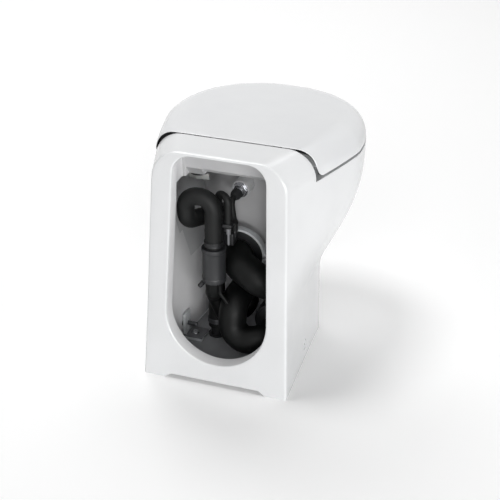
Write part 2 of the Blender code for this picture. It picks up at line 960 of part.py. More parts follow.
lid_outer = lid_rings(
    0, deck_height, lid_back, lid_back_edge, lid_low, shoulder_radius, lid_back_shoulder
)
outline = plan(rim_height, lid_low_edge / 2, lid_back, lid_edge_corner)
lid_outer[0] = level_ring(outline, lid_low)
outline = plan(rim_height, 0, lid_back, lid_edge_corner)
lid_outer[1] = level_ring(outline, lid_low + lid_low_edge / 2)
lid = loft("lid", [[crown(p) for p in ring] for ring in lid_outer], "shell")
lid_hollow_top = deck_height - lid_top_wall
hollow_back = deck_front - lid_back_edge
hollow_low = lid_low - lid_skirt
lid_inner = lid_rings(
    lid_skirt, lid_hollow_top, hollow_back, gap, hollow_low, lid_inner_radius, lid_inner_radius
)
lid_hollow = loft("cut_lid_hollow", [[crown(p) for p in ring] for ring in lid_inner])
cut(lid, lid_hollow)
# The rear of the shell is thinned to a lip, so the seam looks into the hollow.
lip_line = []
lip_radius = lid_back_shoulder - lid_lip
lip_top = deck_height - lid_lip
lip_heights = [hollow_low]
for share in (0, 0.2, 0.4, 0.6, 0.8, 1):
    lip_heights.append(lip_top - lip_radius + shoulder(share, lip_radius)[0])
for height in lip_heights:
    tuck = lid_tuck(height, lid_lip, lip_top, lip_radius)
    lip_line.append((float(np.interp(lid_back, *side_line(height, tuck))), height))
lip_line += [(-a, z) for a, z in lip_line[::-1]]
lip_start = lid_back - lid_lip_start
lip_outline = [at(a, lip_start, z) for a, z in lip_line]
lip_shift = Vector((0, -lid_lip_start - lid_lip_reach, 0))
cut(lid, prism("cut_lid_lip", lip_outline, lip_shift))
# The lower rear corner of each flank is rounded.
corner_line = [(lid_back - lid_rear_corner, hollow_low), (lid_back + lid_rear_corner, hollow_low)]
for share in (0, 0.25, 0.5, 0.75, 1):
    rise, tuck = shoulder(share, lid_rear_corner)
    corner_line.append((lid_back + lid_rear_corner - rise, lid_low + tuck))
corner_line.append((lid_back - lid_rear_corner, lid_low + lid_rear_corner))
corner_outline = [at(-body_depth / 2, d, z) for d, z in corner_line]
cut(lid, prism("cut_lid_corner", corner_outline, Vector((-body_depth, 0, 0))))
pocket_low_z = lid_low - lid_skirt
hinge_pocket = block(
    "cut_hinge_pocket",
    (0, (hollow_back + hinge_pocket_front) / 2, (hinge_pocket_top + pocket_low_z) / 2),
    (hinge_pocket_half * 2, hinge_pocket_front - hollow_back, hinge_pocket_top - pocket_low_z),
)
cut(lid, hinge_pocket)

# Where the ears of each side lie, measured outward from the post
post_half = post_width / 2
ear_inner = hinge_across - post_half - ear_side_gap - ear_width
ear_outer = hinge_across + post_half + ear_side_gap
for side, tag in ((-1, "left"), (1, "right")):
    middle = ear_inner + ear_width / 2
    lug = block(
        "join_lid_ear_" + tag,
        (side * middle, hinge_depth, (hinge_height + hinge_pocket_top) / 2 + gap),
        (ear_width - gap, ear_radius * 1.9, hinge_pocket_top - hinge_height + gap * 2),
    )
    cut(lid, lug, "UNION")
    barrel = rod(
        "join_lid_barrel_" + tag,
        at(side * ear_inner, hinge_depth, hinge_height),
        at(side * (ear_inner + ear_width), hinge_depth, hinge_height),
        ear_radius,
    )
    cut(lid, barrel, "UNION")
    bore = rod(
        "cut_lid_bore_" + tag,
        at(side * (ear_inner - ear_width), hinge_depth, hinge_height),
        at(side * (ear_inner + ear_width + ear_side_gap), hinge_depth, hinge_height),
        pin_radius + fit_gap,
    )
    cut(lid, bore)

# Seat ring
seat_rings = []
under_edge = seat_edge / 2
for share in (0.0, 0.5, 1.0):
    rise, tuck = shoulder(share, under_edge)
    seat_rings.append((seat_low + rise, seat_inset + under_edge * (1 - sin(pi / 2 * share))))
for share in (0.0, 0.25, 0.5, 0.75, 1.0):
    rise, tuck = shoulder(share, seat_edge)
    seat_rings.append((seat_top - seat_edge + rise, seat_inset + tuck))
seat = loft(
    "seat_ring",
    [
        level_ring(plan(rim_height, tuck, seat_back, seat_corner, tuck + seat_nose_inset), z)
        for z, tuck in seat_rings
    ],
    "shell",
)
hole_rings = []
over = seat_edge / 2
for z, grow in (
    (seat_low - over, over),
    (seat_low + over, 0),
    (seat_top - seat_edge, 0),
    (seat_top - seat_edge / 3, seat_edge / 3),
    (seat_top + over, seat_edge),
):
    ring = oval(seat_hole_depth, seat_hole_half_depth + grow, seat_hole_half_width + grow, bowl_power)
    hole_rings.append(level_ring(ring, z))
cut(seat, loft("cut_seat_hole", hole_rings))
for side, tag in ((-1, "left"), (1, "right")):
    middle = side * (ear_outer + ear_width / 2)
    arm_front = seat_back + seat_corner / 2
    arm = block(
        "join_seat_arm_" + tag,
        (middle, (hinge_depth + arm_front) / 2, (seat_low + seat_top) / 2 + gap),
        (ear_width - gap * 3, arm_front - hinge_depth, (seat_top - seat_low) - gap * 4),
    )
    cut(seat, arm, "UNION")
    riser = block(
        "join_seat_riser_" + tag,
        (middle, hinge_depth + ear_radius * 0.25, (hinge_height + seat_low) / 2 + gap),
        (ear_width - gap, ear_radius * 1.5, hinge_height - seat_low - gap * 2),
    )
    cut(seat, riser, "UNION")
    barrel = rod(
        "join_seat_barrel_" + tag,
        at(side * ear_outer, hinge_depth, hinge_height),
        at(side * (ear_outer + ear_width), hinge_depth, hinge_height),
        ear_radius,
    )
    cut(seat, barrel, "UNION")
    bore = rod(
        "cut_seat_bore_" + tag,
        at(side * (ear_outer - ear_side_gap), hinge_depth, hinge_height),
        at(side * (ear_outer + ear_width * 2), hinge_depth, hinge_height),
        pin_radius + fit_gap,
    )
    cut(seat, bore)

# Hinge posts, pins and fixings
for side, tag in ((-1, "left"), (1, "right")):
    foot = at(side * hinge_across, hinge_depth, rim_height + gap)
    post = turned(
        "hinge_post_" + tag,
        foot,
        Vector((0, 0, 1)),
        [
            (0, 0),
            (post_base_radius, 0),
            (post_base_radius, post_base_height * 0.6),
            (post_base_radius * 0.8, post_base_height),
            (0, post_base_height),
        ],
        "steel",
    )
    tall = hinge_height - rim_height - gap
    neck = block(
        "join_post_" + tag,
        (side * hinge_across, hinge_depth, rim_height + gap * 2 + tall / 2),
        (post_width, ear_radius * post_neck_share, tall - gap),
    )
    cut(post, neck, "UNION")
    head = rod(
        "join_post_head_" + tag,
        at(side * (hinge_across - post_half), hinge_depth, hinge_height),
        at(side * (hinge_across + post_half), hinge_depth, hinge_height),
        ear_radius,
    )
    cut(post, head, "UNION")
    bore = rod(
        "cut_post_bore_" + tag,
        at(side * (hinge_across - post_width), hinge_depth, hinge_height),
        at(side * (hinge_across + post_width), hinge_depth, hinge_height),
        pin_radius + fit_gap,
    )
    cut(post, bore)
    socket = rod(
        "cut_post_socket_" + tag,
        at(side * hinge_across, hinge_depth, rim_height - rim_thickness),
        at(side * hinge_across, hinge_depth, rim_height + gap + tall * post_socket_share),
        bolt_radius + gap,
    )
    cut(post, socket)
    pin_from = ear_inner - pin_head_length - gap
    pin_start = at(side * pin_from, hinge_depth, hinge_height)
    turned(
        "hinge_pin_" + tag,
        pin_start,
        Vector((-side, 0, 0)),
        [
            (0, 0),
            (pin_head, 0),
            (pin_head, pin_head_length),
            (pin_radius, pin_head_length),
            (pin_radius, pin_length),
            (0, pin_length),
        ],
        "steel",
        small_steps,
    )
    bolt_top = rim_height + gap + tall * post_socket_share - gap * 2
    rod(
        "hinge_bolt_" + tag,
        at(side * hinge_across, hinge_depth, bolt_top),
        at(side * hinge_across, hinge_depth, bolt_top - bolt_length),
        bolt_radius,
        "steel",
    )
    under = rim_height - rim_thickness - gap
    tube(
        "hinge_washer_" + tag,
        at(side * hinge_across, hinge_depth, under),
        at(side * hinge_across, hinge_depth, under - nut_washer_height),
        nut_washer_radius,
        bolt_radius + gap,
        "rubber",
    )
    nut_top = under - nut_washer_height - gap
    nut = rod(
        "wing_nut_" + tag,
        at(side * hinge_across, hinge_depth, nut_top),
        at(side * hinge_across, hinge_depth, nut_top - wing_hub_height),
        wing_hub_radius,
        "pale",
    )
    wings = block(
        "join_wings_" + tag,
        (side * hinge_across, hinge_depth, nut_top - gap - wing_height / 2),
        (wing_reach * 2, wing_thick, wing_height),
        None,
        wing_thick / 4,
    )
    cut(nut, wings, "UNION")
    thread = rod(
        "cut_nut_thread_" + tag,
        at(side * hinge_across, hinge_depth, nut_top + gap),
        at(side * hinge_across, hinge_depth, nut_top - wing_height * 2),
        bolt_radius + gap,
    )
    cut(nut, thread)

# Rubber feet
foot_height = seat_low - rim_height - gap
moving = [lid, seat]
for tag, (wide, far) in (("front", seat_foot_front_shares), ("back", seat_foot_back_shares)):
    across, depth = wide * rim_half_width, far * body_depth
    for side, hand in ((-1, "left"), (1, "right")):
        place = at(side * across, depth, rim_height + gap)
        foot = turned(
            "seat_foot_" + tag + "_" + hand,
            place,
            Vector((0, 0, 1)),
            [
                (0, 0),
                (foot_radius * 0.85, 0),
                (foot_radius, foot_height * 0.4),
                (foot_radius, foot_height + foot_recess),
                (0, foot_height + foot_recess),
            ],
            "rubber",
            small_steps,
        )
        moving.append(foot)
        pocket = rod(
            "cut_seat_foot_" + tag + "_" + hand,
            at(side * across, depth, seat_low - foot_recess),
            at(side * across, depth, seat_low + foot_recess + gap),
            foot_radius + gap,
        )
        cut(seat, pocket)
for side, hand in ((-1, "left"), (1, "right")):
    across, depth = lid_foot_shares[0] * rim_half_width, lid_foot_shares[1] * body_depth
    bottom = at(side * across, depth, seat_top + gap)
    roof = crown(at(side * across, depth, lid_hollow_top)).z
    tall = roof - seat_top - gap * 2
    foot = turned(
        "lid_foot_" + hand,
        bottom,
        Vector((0, 0, 1)),
        [
            (0, 0),
            (lid_foot_radius * 0.8, 0),
            (lid_foot_radius, tall * 0.3),
            (lid_foot_radius, tall + foot_recess),
            (0, tall + foot_recess),
        ],
        "rubber",
        small_steps,
    )
    moving.append(foot)
    pocket = rod(
        "cut_lid_foot_" + hand,
        at(side * across, depth, seat_top),
        at(side * across, depth, seat_top + gap + tall + foot_recess + gap),
        lid_foot_radius + gap,
    )
    cut(lid, pocket)

# Base plate with the floor outlet hole
plate_rows = []
for height in (0, plate_thick):
    ring = plan(0, plate_inset, plate_back, plate_edge)
    plate_rows.append(level_ring(ring, height))
plate = loft("base_plate", plate_rows, "plate")
outlet_across, outlet_depth = neck_route[-1][0], neck_route[-1][1]
plate_top = plate_thick
outlet_hole = rod(
    "cut_plate_outlet",
    at(outlet_across, outlet_depth, -plate_thick),
    at(outlet_across, outlet_depth, plate_top + plate_thick),
    floor_outlet_radius + gap,
)
cut(plate, outlet_hole)
flange_top = plate_top + gap + floor_outlet_flange_thick
turned(
    "floor_outlet",
    at(outlet_across, outlet_depth, 0),
    Vector((0, 0, 1)),
    [
        (floor_outlet_radius, 0),
        (floor_outlet_radius, plate_thick + gap),
        (floor_outlet_flange, plate_thick + gap),
        (floor_outlet_flange, flange_top),
        (floor_outlet_radius, flange_top),
        (floor_outlet_radius, floor_outlet_top),
        (floor_outlet_bore, floor_outlet_top),
        (floor_outlet_bore, 0),
    ],
    "black",
)

# Floor brackets, their screws, side screws and caps
inner_half = float(np.interp(side_screw_depth, *side_line(side_screw_height, body_wall)))
back_part = side_screw_depth - bracket_width / 2
front_part = side_screw_depth + bracket_width / 2
narrow_half = float(np.interp(front_part, *side_line(side_screw_height, body_wall)))
for side, tag in ((-1, "left"), (1, "right")):
    wall = narrow_half - bracket_wall_gap
    low = plate_top + gap
    corner = bracket_thick
    points = [
        (wall, low),
        (wall, low + bracket_tall),
        (wall - corner, low + bracket_tall),
        (wall - corner, low + corner),
        (wall - bracket_foot, low + corner),
        (wall - bracket_foot, low),
    ]
    outline = [at(side * a, back_part, z) for a, z in points]
    bracket = prism("floor_bracket_" + tag, outline, Vector((0, -bracket_width, 0)), "pale")
    screw_across = wall - bracket_foot / 2
    hole = rod(
        "cut_bracket_floor_" + tag,
        at(side * screw_across, side_screw_depth, low - gap),
        at(side * screw_across, side_screw_depth, low + corner * 2),
        floor_screw_radius + gap,
    )
    cut(bracket, hole)
    hole = rod(
        "cut_bracket_side_" + tag,
        at(side * (wall + corner), side_screw_depth, side_screw_height),
        at(side * (wall - corner * 2), side_screw_depth, side_screw_height),
        side_screw_radius + gap,
    )
    cut(bracket, hole)
    plate_hole = rod(
        "cut_plate_screw_" + tag,
        at(side * screw_across, side_screw_depth, -plate_thick),
        at(side * screw_across, side_screw_depth, plate_top + plate_thick),
        floor_screw_radius + gap,
    )
    cut(plate, plate_hole)
    shank = low + corner + gap
    turned(
        "floor_screw_" + tag,
        at(side * screw_across, side_screw_depth, 0),
        Vector((0, 0, 1)),
        [
            (0, 0),
            (floor_screw_radius, 0),
            (floor_screw_radius, shank),
            (floor_screw_head, shank),
            (floor_screw_head * 0.8, shank + floor_screw_head_height),
            (0, shank + floor_screw_head_height),
        ],
        "steel",
        small_steps,
    )
    outer_half = float(np.interp(side_screw_depth, *side_line(side_screw_height, 0)))
    head_face = outer_half - cap_thick - cap_rim - gap * 2
    tip = head_face - side_screw_length
    turned(
        "side_screw_" + tag,
        at(side * tip, side_screw_depth, side_screw_height),
        Vector((-side, 0, 0)),
        [
            (0, 0),
            (side_screw_radius, 0),
            (side_screw_radius, side_screw_length - side_screw_head_height),
            (side_screw_head, side_screw_length - side_screw_head_height),
            (side_screw_head, side_screw_length),
            (0, side_screw_length),
        ],
        "steel",
        small_steps,
    )
    face = outer_half - cap_thick - gap
    turned(
        "side_cap_" + tag,
        at(side * (face - cap_rim), side_screw_depth, side_screw_height),
        Vector((-side, 0, 0)),
        [
            (cap_radius * 0.85, 0),
            (cap_radius, 0),
            (cap_radius, cap_rim + cap_thick * 0.5),
            (cap_radius * 0.85, cap_rim + cap_thick),
            (cap_radius * 0.3, cap_rim + cap_thick),
            (cap_radius * 0.3, cap_rim),
            (cap_radius * 0.85, cap_rim),
        ],
        "shell",
        small_steps,
    )

# Outlet flange with gasket, clamp band and elbow
back_way = Vector((0, 1, 0))
gasket_front = spigot_end - gap
tube(
    "outlet_gasket",
    at(0, gasket_front, spigot_height),
    at(0, gasket_front - gasket_thick, spigot_height),
    gasket_radius,
    flange_bore,
    "rubber",
)
flange_front = gasket_front - gasket_thick - gap
tube(
    "outlet_flange",
    at(0, flange_front, spigot_height),
    at(0, flange_front - flange_thick, spigot_height),
    flange_radius,
    elbow_radius + gap,
    "black",
)
clamp_front = spigot_end + clamp_width / 4
band = tube(
    "clamp_ring",
    at(0, clamp_front, spigot_height),
    at(0, clamp_front - clamp_width, spigot_height),
    clamp_radius,
    clamp_radius - clamp_thick,
    "pale",
)
lug_across = clamp_radius + clamp_lug / 2 - clamp_thick / 2
lugs = block(
    "join_clamp_lug",
    (lug_across, clamp_front - clamp_width / 2, spigot_height),
    (clamp_lug, clamp_width * 0.7, clamp_lug * 1.3),
    None,
    clamp_thick / 4,
)
cut(band, lugs, "UNION")
slot = block(
    "cut_clamp_slot",
    (lug_across, clamp_front - clamp_width / 2, spigot_height),
    (clamp_lug * 1.4, clamp_width * 2, clamp_lug_gap),
)
cut(band, slot)
screw_across = clamp_radius + clamp_lug * 0.45
screw_reach = clamp_lug * 0.65
hole = rod(
    "cut_clamp_screw",
    at(screw_across, clamp_front - clamp_width / 2, spigot_height - clamp_lug),
    at(screw_across, clamp_front - clamp_width / 2, spigot_height + clamp_lug),
    floor_screw_radius / 2 + gap,
)
cut(band, hole)
turned(
    "clamp_screw",
    at(screw_across, clamp_front - clamp_width / 2, spigot_height - clamp_lug),
    Vector((0, 0, 1)),
    [
        (0, 0),
        (floor_screw_radius / 2, 0),
        (floor_screw_radius / 2, clamp_lug + screw_reach + gap),
        (floor_screw_head * 0.5, clamp_lug + screw_reach + gap),
        (floor_screw_head * 0.5, clamp_lug * 2),
        (0, clamp_lug * 2),
    ],
    "steel",
    small_steps,
)
pipe("outlet_elbow", elbow_route, elbow_bend, elbow_radius, elbow_bore, "hose", bend_round_steps)

# Macerator pump: drum with inlet and outlet, motor behind it, rotor inside
pump_at = at(pump_across, pump_back, pump_height)
inward = Vector((0, -1, 0))
long = pump_front - pump_back
drum = turned(
    "macerator_housing",
    pump_at,
    inward,
    [
        (0, 0),
        (pump_radius - pump_wall / 2, 0),
        (pump_radius, pump_wall / 2),
        (pump_radius, long),
        (0, long),
    ],
    "black",
)
collar = rod(
    "join_pump_inlet",
    at(pump_across, pump_inlet_depth, pump_height),
    at(pump_across, pump_inlet_depth, pump_inlet_top),
    pump_inlet_radius,
    None,
    round_steps,
)
cut(drum, collar, "UNION")
nozzle = rod(
    "join_pump_outlet",
    at(pump_outlet_across, pump_back + pump_wall, pump_outlet_height),
    at(pump_outlet_across, pump_outlet_back, pump_outlet_height),
    pump_outlet_radius - gap,
    None,
    round_steps,
)
cut(drum, nozzle, "UNION")
room = rod(
    "cut_pump_room",
    at(pump_across, pump_back + pump_wall, pump_height),
    at(pump_across, pump_front - pump_wall, pump_height),
    pump_radius - pump_wall,
    None,
    round_steps,
)
cut(drum, room)
way_in = rod(
    "cut_pump_inlet",
    at(pump_across, pump_inlet_depth, pump_height),
    at(pump_across, pump_inlet_depth, pump_inlet_top + pump_wall),
    pump_inlet_bore,
    None,
    round_steps,
)
cut(drum, way_in)
way_out = rod(
    "cut_pump_outlet",
    at(pump_outlet_across, pump_back + pump_wall * 2, pump_outlet_height),
    at(pump_outlet_across, pump_outlet_back - pump_wall, pump_outlet_height),
    pump_outlet_bore,
    None,
    round_steps,
)
cut(drum, way_out)
shaft_way = rod(
    "cut_pump_shaft",
    at(pump_across, pump_front - pump_wall * 2, pump_height),
    at(pump_across, pump_front + pump_wall, pump_height),
    shaft_radius + running_gap,
)
cut(drum, shaft_way)

motor_back = pump_front + gap
motor_long = motor_front - motor_back
ribs = [(shaft_radius + running_gap, 0), (motor_radius, 0)]
for i in range(1, motor_grooves + 1):
    place = motor_long * i / (motor_grooves + 1)
    ribs.append((motor_radius, place - motor_groove))
    ribs.append((motor_radius - motor_groove, place - motor_groove / 2))
    ribs.append((motor_radius - motor_groove, place + motor_groove / 2))
    ribs.append((motor_radius, place + motor_groove))
ribs.append((motor_radius, motor_long))
ribs.append((motor_radius - motor_wall, motor_long))
ribs.append((motor_radius - motor_wall, motor_wall))
ribs.append((shaft_radius + running_gap, motor_wall))
turned("motor_can", at(pump_across, motor_back, pump_height), inward, ribs, "grey")
cap_back = motor_front + gap
cap_long = motor_cap_front - cap_back
spigot_reach = motor_wall
turned(
    "motor_end_cap",
    at(pump_across, cap_back - spigot_reach, pump_height),
    inward,
    [
        (0, 0),
        (motor_radius - motor_wall - gap, 0),
        (motor_radius - motor_wall - gap, spigot_reach),
        (motor_radius, spigot_reach),
        (motor_cap_radius, spigot_reach + cap_long),
        (0, spigot_reach + cap_long),
    ],
    "black",
)
rotor_long = rotor_front - rotor_back
hub_at = at(pump_across, rotor_back, pump_height)
rotor = turned(
    "macerator_rotor",
    hub_at,
    inward,
    [
        (0, 0),
        (blade_hub * 0.7, 0),
        (blade_hub, rotor_long * 0.3),
        (blade_hub, rotor_long),
        (0, rotor_long),
    ],
    "steel",
)
for i in range(blade_count // 2):
    blade = block(
        "join_blade_" + str(i),
        (pump_across, (rotor_back + rotor_front) / 2, pump_height),
        (rotor_radius * 2, rotor_long - blade_tip_gap, blade_thick),
    )
    axle = Matrix.Translation(pump_at)
    spin = Matrix.Rotation(pi * 2 * i / blade_count, 4, "Y")
    blade.data.transform(axle @ spin @ axle.inverted())
    cut(rotor, blade, "UNION")
shaft_join = rod(
    "join_rotor_shaft",
    at(pump_across, rotor_front - blade_tip_gap, pump_height),
    at(pump_across, shaft_front, pump_height),
    shaft_radius,
)
cut(rotor, shaft_join, "UNION")

for place, tag in zip(foot_depths, ("back", "front")):
    saddle_low = plate_top + gap
    saddle_top = pump_height
    saddle = block(
        "motor_saddle_" + tag,
        (pump_across, place, (saddle_low + saddle_top) / 2),
        (foot_plate_half * 2, foot_saddle_width, saddle_top - saddle_low),
        "rubber",
        foot_plate_thick / 4,
    )
    seat_cut = rod(
        "cut_saddle_" + tag,
        at(pump_across, place - foot_saddle_width, pump_height),
        at(pump_across, place + foot_saddle_width, pump_height),
        motor_radius + gap,
        None,
        round_steps,
    )
    cut(saddle, seat_cut)

# Lower bend, reducer, riser, check valve sleeve and gooseneck
pipe("lower_bend", lower_route, lower_bend_radius, lower_radius, lower_bore, "hose", bend_round_steps)
pipe("riser_elbow", riser_route, riser_bend, riser_radius, riser_bore, "hose", hose_steps)
lower_end = at(*lower_route[-1])
lower_way = (at(*lower_route[-1]) - at(*lower_route[-2])).normalized()
reducer_long = reducer_lip + reducer_cone + reducer_collar
turned(
    "reducer",
    lower_end + lower_way * gap,
    lower_way,
    [
        (lower_bore - gap, -reducer_tail),
        (lower_bore - gap, 0),
        (lower_radius, 0),
        (lower_radius, reducer_lip),
        (riser_radius + reducer_collar_wall, reducer_lip + reducer_cone),
        (riser_radius + reducer_collar_wall, reducer_long),
        (riser_radius + gap, reducer_long),
        (riser_radius + gap, reducer_lip + reducer_seat),
        (riser_bore, reducer_lip + reducer_seat),
        (riser_bore, -reducer_tail),
    ],
    "black",
)
sleeve_bore = neck_radius + gap
turned(
    "check_valve_sleeve",
    at(sleeve_across, sleeve_depth, sleeve_low),
    Vector((0, 0, 1)),
    [
        (sleeve_bore, 0),
        (sleeve_radius - sleeve_rib, 0),
        (sleeve_radius, sleeve_rib),
        (sleeve_radius, sleeve_long * 0.12),
        (sleeve_radius - sleeve_rib, sleeve_long * 0.14),
        (sleeve_radius - sleeve_rib, sleeve_long * 0.86),
        (sleeve_radius, sleeve_long * 0.88),
        (sleeve_radius, sleeve_long - sleeve_rib),
        (sleeve_radius - sleeve_rib, sleeve_long),
        (sleeve_bore, sleeve_long),
    ],
    "grey",
)
valve_top = valve_seat_low + valve_seat_thick
turned(
    "duckbill_valve",
    at(sleeve_across, sleeve_depth, valve_seat_low),
    Vector((0, 0, 1)),
    [
        (neck_bore, 0),
        (sleeve_bore - gap, 0),
        (sleeve_bore - gap, valve_seat_thick),
        (neck_bore * 0.8, valve_seat_thick),
        (neck_bore * 0.4, duckbill_top - valve_seat_low + valve_seat_thick),
        (neck_bore * 0.25, duckbill_top - valve_seat_low + valve_seat_thick),
        (neck_bore * 0.6, valve_seat_thick),
    ],
    "rubber",
    small_steps,
)
neck = pipe("gooseneck_hose", neck_route, neck_bend, neck_radius, neck_bore, "hose", hose_steps)
vent_across, vent_depth, vent_low = hook_route[0]
neck_skin = sleeve_depth + (neck_radius + neck_bore) / 2
vent_arm = rod(
    "join_vent_arm",
    at(vent_across, neck_skin, vent_low - hook_port_radius * 1.3),
    at(vent_across, vent_depth + hook_port_radius / 2, vent_low - hook_port_radius * 1.3),
    hook_port_radius,
    None,
    thin_steps,
)
cut(neck, vent_arm, "UNION")
vent_port = rod(
    "join_vent_port",
    at(vent_across, vent_depth, vent_low - hook_port_radius * 1.3),
    at(vent_across, vent_depth, hook_port_top),
    hook_bore - gap,
    None,
    thin_steps,
)
cut(neck, vent_port, "UNION")
for tag, height in (("neck", 0), ("outlet", 1)):
    if height:
        centre = at(outlet_across, outlet_depth, floor_outlet_top - band_width)
    else:
        centre = at(sleeve_across, sleeve_depth, sleeve_top + band_width * 0.4)
    tube(
        "hose_band_" + tag,
        centre,
        centre + Vector((0, 0, band_width)),
        neck_radius + gap + band_thick,
        neck_radius + gap,
        "steel" if height else "black",
    )
nipple = rod("sleeve_nipple", at(*nipple_from), at(*nipple_to), nipple_radius, "black")
cord("drain_hose", drain_route, drain_bend, drain_radius, "hose")

# Water inlet: threaded stub through the boss, washer, nut, boot, hose and valve
turned(
    "inlet_stub",
    at(0, stub_front, inlet_height),
    back_way,
    [
        (stub_bore, 0),
        (stub_radius, 0),
        (stub_radius, stub_front - stub_back),
        (stub_bore, stub_front - stub_back),
    ],
    "steel",
    small_steps,
)
washer_front = boss_end - gap
tube(
    "inlet_washer",
    at(0, washer_front, inlet_height),
    at(0, washer_front - inlet_washer_thick, inlet_height),
    inlet_washer_radius,
    stub_radius + gap,
    "steel",
)
nut_front = washer_front - inlet_washer_thick - gap
hex_nut = rod(
    "inlet_nut",
    at(0, nut_front, inlet_height),
    at(0, nut_front - inlet_nut_thick, inlet_height),
    inlet_nut_flat,
    "steel",
    6,
)
nut_bore = rod(
    "cut_nut_bore",
    at(0, nut_front + gap, inlet_height),
    at(0, nut_front - inlet_nut_thick - gap, inlet_height),
    stub_radius + gap,
)
cut(hex_nut, nut_bore)
boot_front = nut_front - inlet_nut_thick - boot_gap
boot_long = boot_cuff + boot_cone + boot_neck
turned(
    "inlet_boot",
    at(0, boot_front, inlet_height),
    back_way,
    [
        (stub_radius + gap, 0),
        (boot_radius, 0),
        (boot_radius, boot_cuff),
        (boot_radius * boot_neck_shares[0], boot_cuff + boot_cone),
        (boot_radius * boot_neck_shares[1], boot_long),
        (stub_bore * boot_bore_share, boot_long),
        (stub_bore * boot_bore_share, boot_front - stub_back + gap),
        (stub_radius + gap, boot_front - stub_back + gap),
    ],
    "rubber",
)
pipe("inlet_hose", hose_route, hose_bend, hose_radius, hose_bore, "hose", thin_steps)
valve_depth, valve_height = valve_place[1:]
wide, deep, tall = valve_size
valve = block("solenoid_valve", valve_place, valve_size, "black", valve_edge)
port = rod(
    "join_valve_inlet",
    at(hose_route[-1][0], hose_route[-1][1], valve_height),
    at(hose_route[-1][0], hose_route[-1][1], valve_port_top),
    valve_port_radius,
)
cut(valve, port, "UNION")
pipe("vent_hose", hook_route, hook_bend, hook_radius, hook_bore, "hose", thin_steps)
coil_low = valve_height + tall / 2 + gap
ribs = [(0, 0), (coil_radius, 0)]
for i in range(coil_rib_count):
    low = coil_height * (i + 0.4) / coil_rib_count
    high = coil_height * (i + 0.8) / coil_rib_count
    ribs.append((coil_radius, low))
    ribs.append((coil_radius - coil_rib, low))
    ribs.append((coil_radius - coil_rib, high))
    ribs.append((coil_radius, high))
ribs.append((coil_radius, coil_height))
ribs.append((0, coil_height))
coil = turned(
    "valve_coil",
    at(coil_across, valve_depth, coil_low),
    Vector((0, 0, 1)),
    ribs,
    "black",
    small_steps,
)
plug = block(
    "join_coil_plug",
    (coil_across - coil_radius, valve_depth, coil_low + coil_height / 2),
    plug_size,
)
cut(coil, plug, "UNION")
hook_across, hook_depth, hook_low = hook_route[-1]
clip = block(
    "vent_clip",
    (hook_across, hook_depth, hook_low + clip_height),
    (clip_width, clip_width, clip_height),
    "black",
    clip_height / 5,
)
clip_bore = rod(
    "cut_clip_bore",
    at(hook_across, hook_depth, hook_low - clip_height),
    at(hook_across, hook_depth, hook_low + clip_height * 3),
    hook_radius + gap,
)
cut(clip, clip_bore)
barb_top = hook_low - gap
turned(
    "vent_barb",
    at(hook_across, hook_depth, barb_low),
    Vector((0, 0, 1)),
    [
        (0, 0),
        (barb_radius * 0.6, 0),
        (barb_radius, barb_body),
        (barb_radius, barb_body_low - barb_low),
        (barb_body, barb_body_low - barb_low),
        (barb_body, barb_top - barb_low),
        (hook_bore - gap, barb_top - barb_low),
        (hook_bore - gap, barb_top - barb_low + barb_body),
        (0, barb_top - barb_low + barb_body),
    ],
    "grey",
    small_steps,
)

# Moving pieces turn about their own origins: the hinge line and the rotor's shaft
hinge_middle = at(0, hinge_depth, hinge_height)
for thing, pivot in [(piece, hinge_middle) for piece in moving] + [(rotor, hub_at)]:
    thing.data.transform(Matrix.Translation(-pivot))
    thing.location = pivot
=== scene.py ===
import bmesh
import bpy
import numpy as np
from math import cos, pi, sin, sqrt, tan
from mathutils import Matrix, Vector


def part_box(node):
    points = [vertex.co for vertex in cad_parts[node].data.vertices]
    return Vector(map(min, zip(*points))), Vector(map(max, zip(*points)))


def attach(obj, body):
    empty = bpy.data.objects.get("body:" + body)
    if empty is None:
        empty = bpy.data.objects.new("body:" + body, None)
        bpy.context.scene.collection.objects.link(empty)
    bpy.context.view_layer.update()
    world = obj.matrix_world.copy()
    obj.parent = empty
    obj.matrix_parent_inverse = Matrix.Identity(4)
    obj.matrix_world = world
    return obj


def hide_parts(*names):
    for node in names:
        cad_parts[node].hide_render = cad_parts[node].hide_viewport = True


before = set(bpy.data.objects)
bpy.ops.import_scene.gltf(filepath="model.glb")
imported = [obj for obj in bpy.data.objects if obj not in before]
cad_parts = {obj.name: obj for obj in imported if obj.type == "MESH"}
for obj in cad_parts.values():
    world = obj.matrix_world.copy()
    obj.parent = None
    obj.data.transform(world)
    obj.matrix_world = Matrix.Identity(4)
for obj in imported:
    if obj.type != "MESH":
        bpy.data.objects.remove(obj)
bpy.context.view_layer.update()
print("frame loaded")

# Places are (across, depth, height): across grows to the right of someone who stands
# behind the toilet, depth grows from the back foot to the nose.
backY = 0.2245


def put(across, depth, height):
    return Vector((-across, backY - depth, height))


toBack, toNose, up = Vector((0, 1, 0)), Vector((0, -1, 0)), Vector((0, 0, 1))
# the play between two pieces that meet
gap = 0.0003


def placed(name, data):
    thing = bpy.data.objects.new(name, data)
    bpy.context.collection.objects.link(thing)
    return thing


def aimed(name, data, place, look):
    # a camera or a lamp at this place that looks this way
    thing = placed(name, data)
    thing.location = place
    thing.rotation_mode = "QUATERNION"
    thing.rotation_quaternion = Vector(look).to_track_quat("-Z", "Y")
    return thing


# ---- camera: solved from the photo's vertical edges and the foot of the body
view = {"place": (-0.7143, 2.0293, 1.3168), "look": (0.29701, -0.82906, -0.47375), "lens": 95.04}
camera = aimed("camera", bpy.data.cameras.new("camera"), view["place"], view["look"])
camera.data.lens = view["lens"]
camera.data.sensor_width = 36
bpy.context.scene.camera = camera


